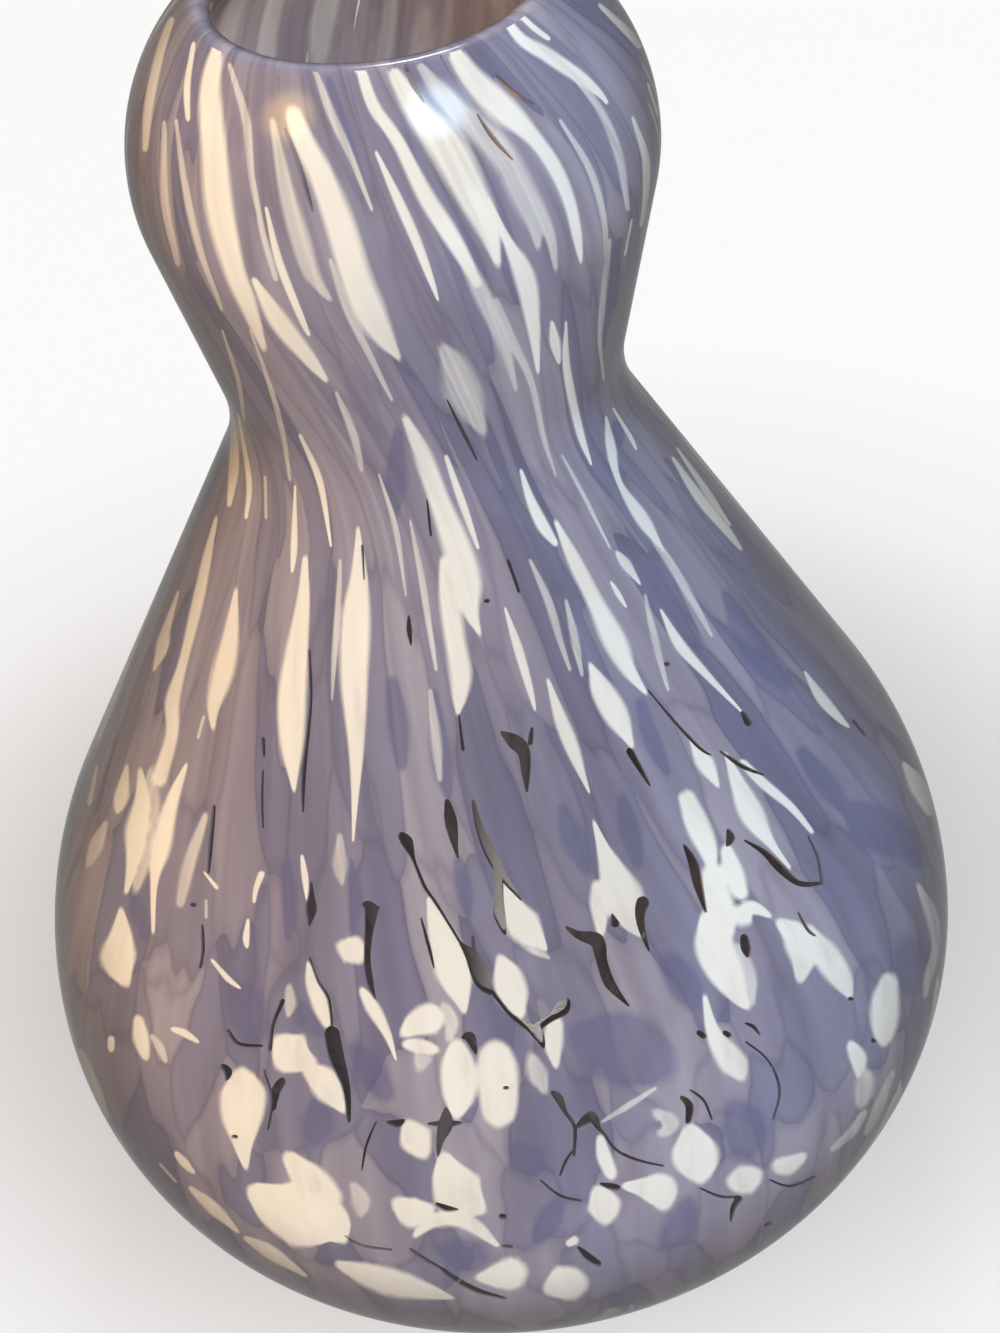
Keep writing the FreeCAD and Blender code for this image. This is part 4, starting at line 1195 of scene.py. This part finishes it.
# In metres, as all sizes and places from here on: how far the floor reaches, and how far behind the
# vase's axis the soft shade on it is centred.
FLOOR_REACH, SHADE_BEHIND = 3, 0.056
# How much of what the camera sees of the floor is its own white, and how strongly the room lights.
SELF_LIT, ROOM_LIGHT = 0.85, 0.33
# A lamp is this much brighter than an even one up to a share of its width from its middle, and dark
# from another share on.
LAMP_PEAK, LAMP_BRIGHT, LAMP_DARK = 3.0, 0.1, 0.5


def build_floor():
    """A white card under the vase, with a soft shade round it as in the photograph."""
    mesh = bmesh.new()
    bmesh.ops.create_grid(mesh, x_segments=1, y_segments=1, size=FLOOR_REACH)
    floor = finish_mesh(mesh, "floor")
    material, shader = new_material("white_card")
    shader.inputs["Base Color"].default_value = linear("#f3f1f2")
    shader.inputs["Roughness"].default_value = 0.8
    path = add(material, "ShaderNodeLightPath")
    place = add(material, "ShaderNodeTexCoord").outputs["Object"]
    shifted = add(
        material, "ShaderNodeVectorMath", {0: place, 1: (0, -SHADE_BEHIND, 0)}, operation="ADD")
    reach = add(material, "ShaderNodeVectorMath", {0: shifted.outputs["Vector"]}, operation="LENGTH")
    shade = add(
        material, "ShaderNodeValToRGB", {"Fac": reach.outputs["Value"]},
        ((0.07, "#cfcccc"), (0.112, "#f5f4f4"), (0.155, "#ffffff")))
    white = add(material, "ShaderNodeEmission", {"Color": shade.outputs["Color"], "Strength": 1.0})
    share = add(material, "ShaderNodeMath", {
        0: path.outputs["Is Camera Ray"], 1: SELF_LIT}, operation="MULTIPLY")
    both = add(material, "ShaderNodeMixShader", {
        0: share.outputs["Value"], 1: shader.outputs["BSDF"], 2: white.outputs["Emission"]})
    output = material.node_tree.nodes["Material Output"]
    material.node_tree.links.new(both.outputs["Shader"], output.inputs["Surface"])
    floor.data.materials.append(material)
    floor.visible_glossy = False


def add_lamp(name, place, size, power, colour, mirrored=True, aim=(0, 0, 0.09)):
    """A soft lamp that fades to its border, so that the glass mirrors no hard square."""
    lamp = bpy.data.lights.new(name, "AREA")
    lamp.shape = "RECTANGLE"
    lamp.size, lamp.size_y = size
    lamp.energy = power
    lamp.color = linear(colour)[:3]
    lamp.use_nodes = True
    emission = lamp.node_tree.nodes["Emission"]
    reach = add(lamp, "ShaderNodeNewGeometry").outputs["Parametric"]
    for operation, by in (("SUBTRACT", (0.5, 0.5, 0)), ("MULTIPLY", (1, 1, 0))):
        step = add(lamp, "ShaderNodeVectorMath", {0: reach, 1: by}, operation=operation)
        reach = step.outputs["Vector"]
    reach = add(lamp, "ShaderNodeVectorMath", {0: reach}, operation="LENGTH")
    fade = add(lamp, "ShaderNodeMapRange", {
        "Value": reach.outputs["Value"], "From Min": LAMP_DARK, "From Max": LAMP_BRIGHT,
        "To Max": LAMP_PEAK}, interpolation_type="SMOOTHERSTEP")
    lamp.node_tree.links.new(fade.outputs["Result"], emission.inputs["Strength"])
    holder = bpy.data.objects.new(name, lamp)
    bpy.context.scene.collection.objects.link(holder)
    holder.location = place
    holder.visible_glossy = mirrored
    holder.rotation_euler = (Vector(aim) - Vector(place)).to_track_quat("-Z", "Y").to_euler()


def build_world():
    """An even white room, dim as light and plain white to the eye."""
    world = bpy.data.worlds.new("studio")
    bpy.context.scene.world = world
    world.use_nodes = True
    background = world.node_tree.nodes["Background"]
    background.inputs["Color"].default_value = (1, 1, 1, 1)
    path = add(world, "ShaderNodeLightPath")
    level = add(world, "ShaderNodeMapRange", {
        "Value": path.outputs["Is Camera Ray"], "To Min": ROOM_LIGHT, "To Max": 1.0})
    world.node_tree.links.new(level.outputs["Result"], background.inputs["Strength"])


def build_camera():
    """The photograph's own camera."""
    camera = bpy.data.cameras.new("camera")
    holder = bpy.data.objects.new("camera", camera)
    bpy.context.scene.collection.objects.link(holder)
    turn = Matrix((RIGHT, UP, BACK)).transposed() @ Matrix.Rotation(ROLL, 3, "Z")
    holder.matrix_world = Matrix.Translation(EYE * MM) @ turn.to_4x4()
    camera.sensor_fit = "AUTO"
    camera.sensor_width = 36
    camera.lens = FOCAL_PIXELS / FRAME_HEIGHT * camera.sensor_width
    camera.clip_start = 0.01
    bpy.context.scene.camera = holder


build_floor()
build_world()
add_lamp("warm_window", (-0.95, -0.55, 1.2), (0.85, 0.85), 5.9, "#ffd178")
add_lamp("amber_wall", (-1.3, 0.1, 0.6), (0.8, 0.8), 4.0, "#ffb84c", mirrored=False)
add_lamp("cool_window", (0.42, -0.75, 1.1), (0.85, 0.85), 7.3, "#c0e1ff")
add_lamp("low_card", (0.1, -1.2, 0.25), (0.8, 0.5), 3.7, "#fffaf0", mirrored=False, aim=(0, 0, 0.03))
add_lamp("ceiling", (0.1, 0.5, 1.2), (0.5, 0.3), 4.0, "#ffffff")
build_camera()
bpy.context.scene.view_settings.view_transform = "Standard"
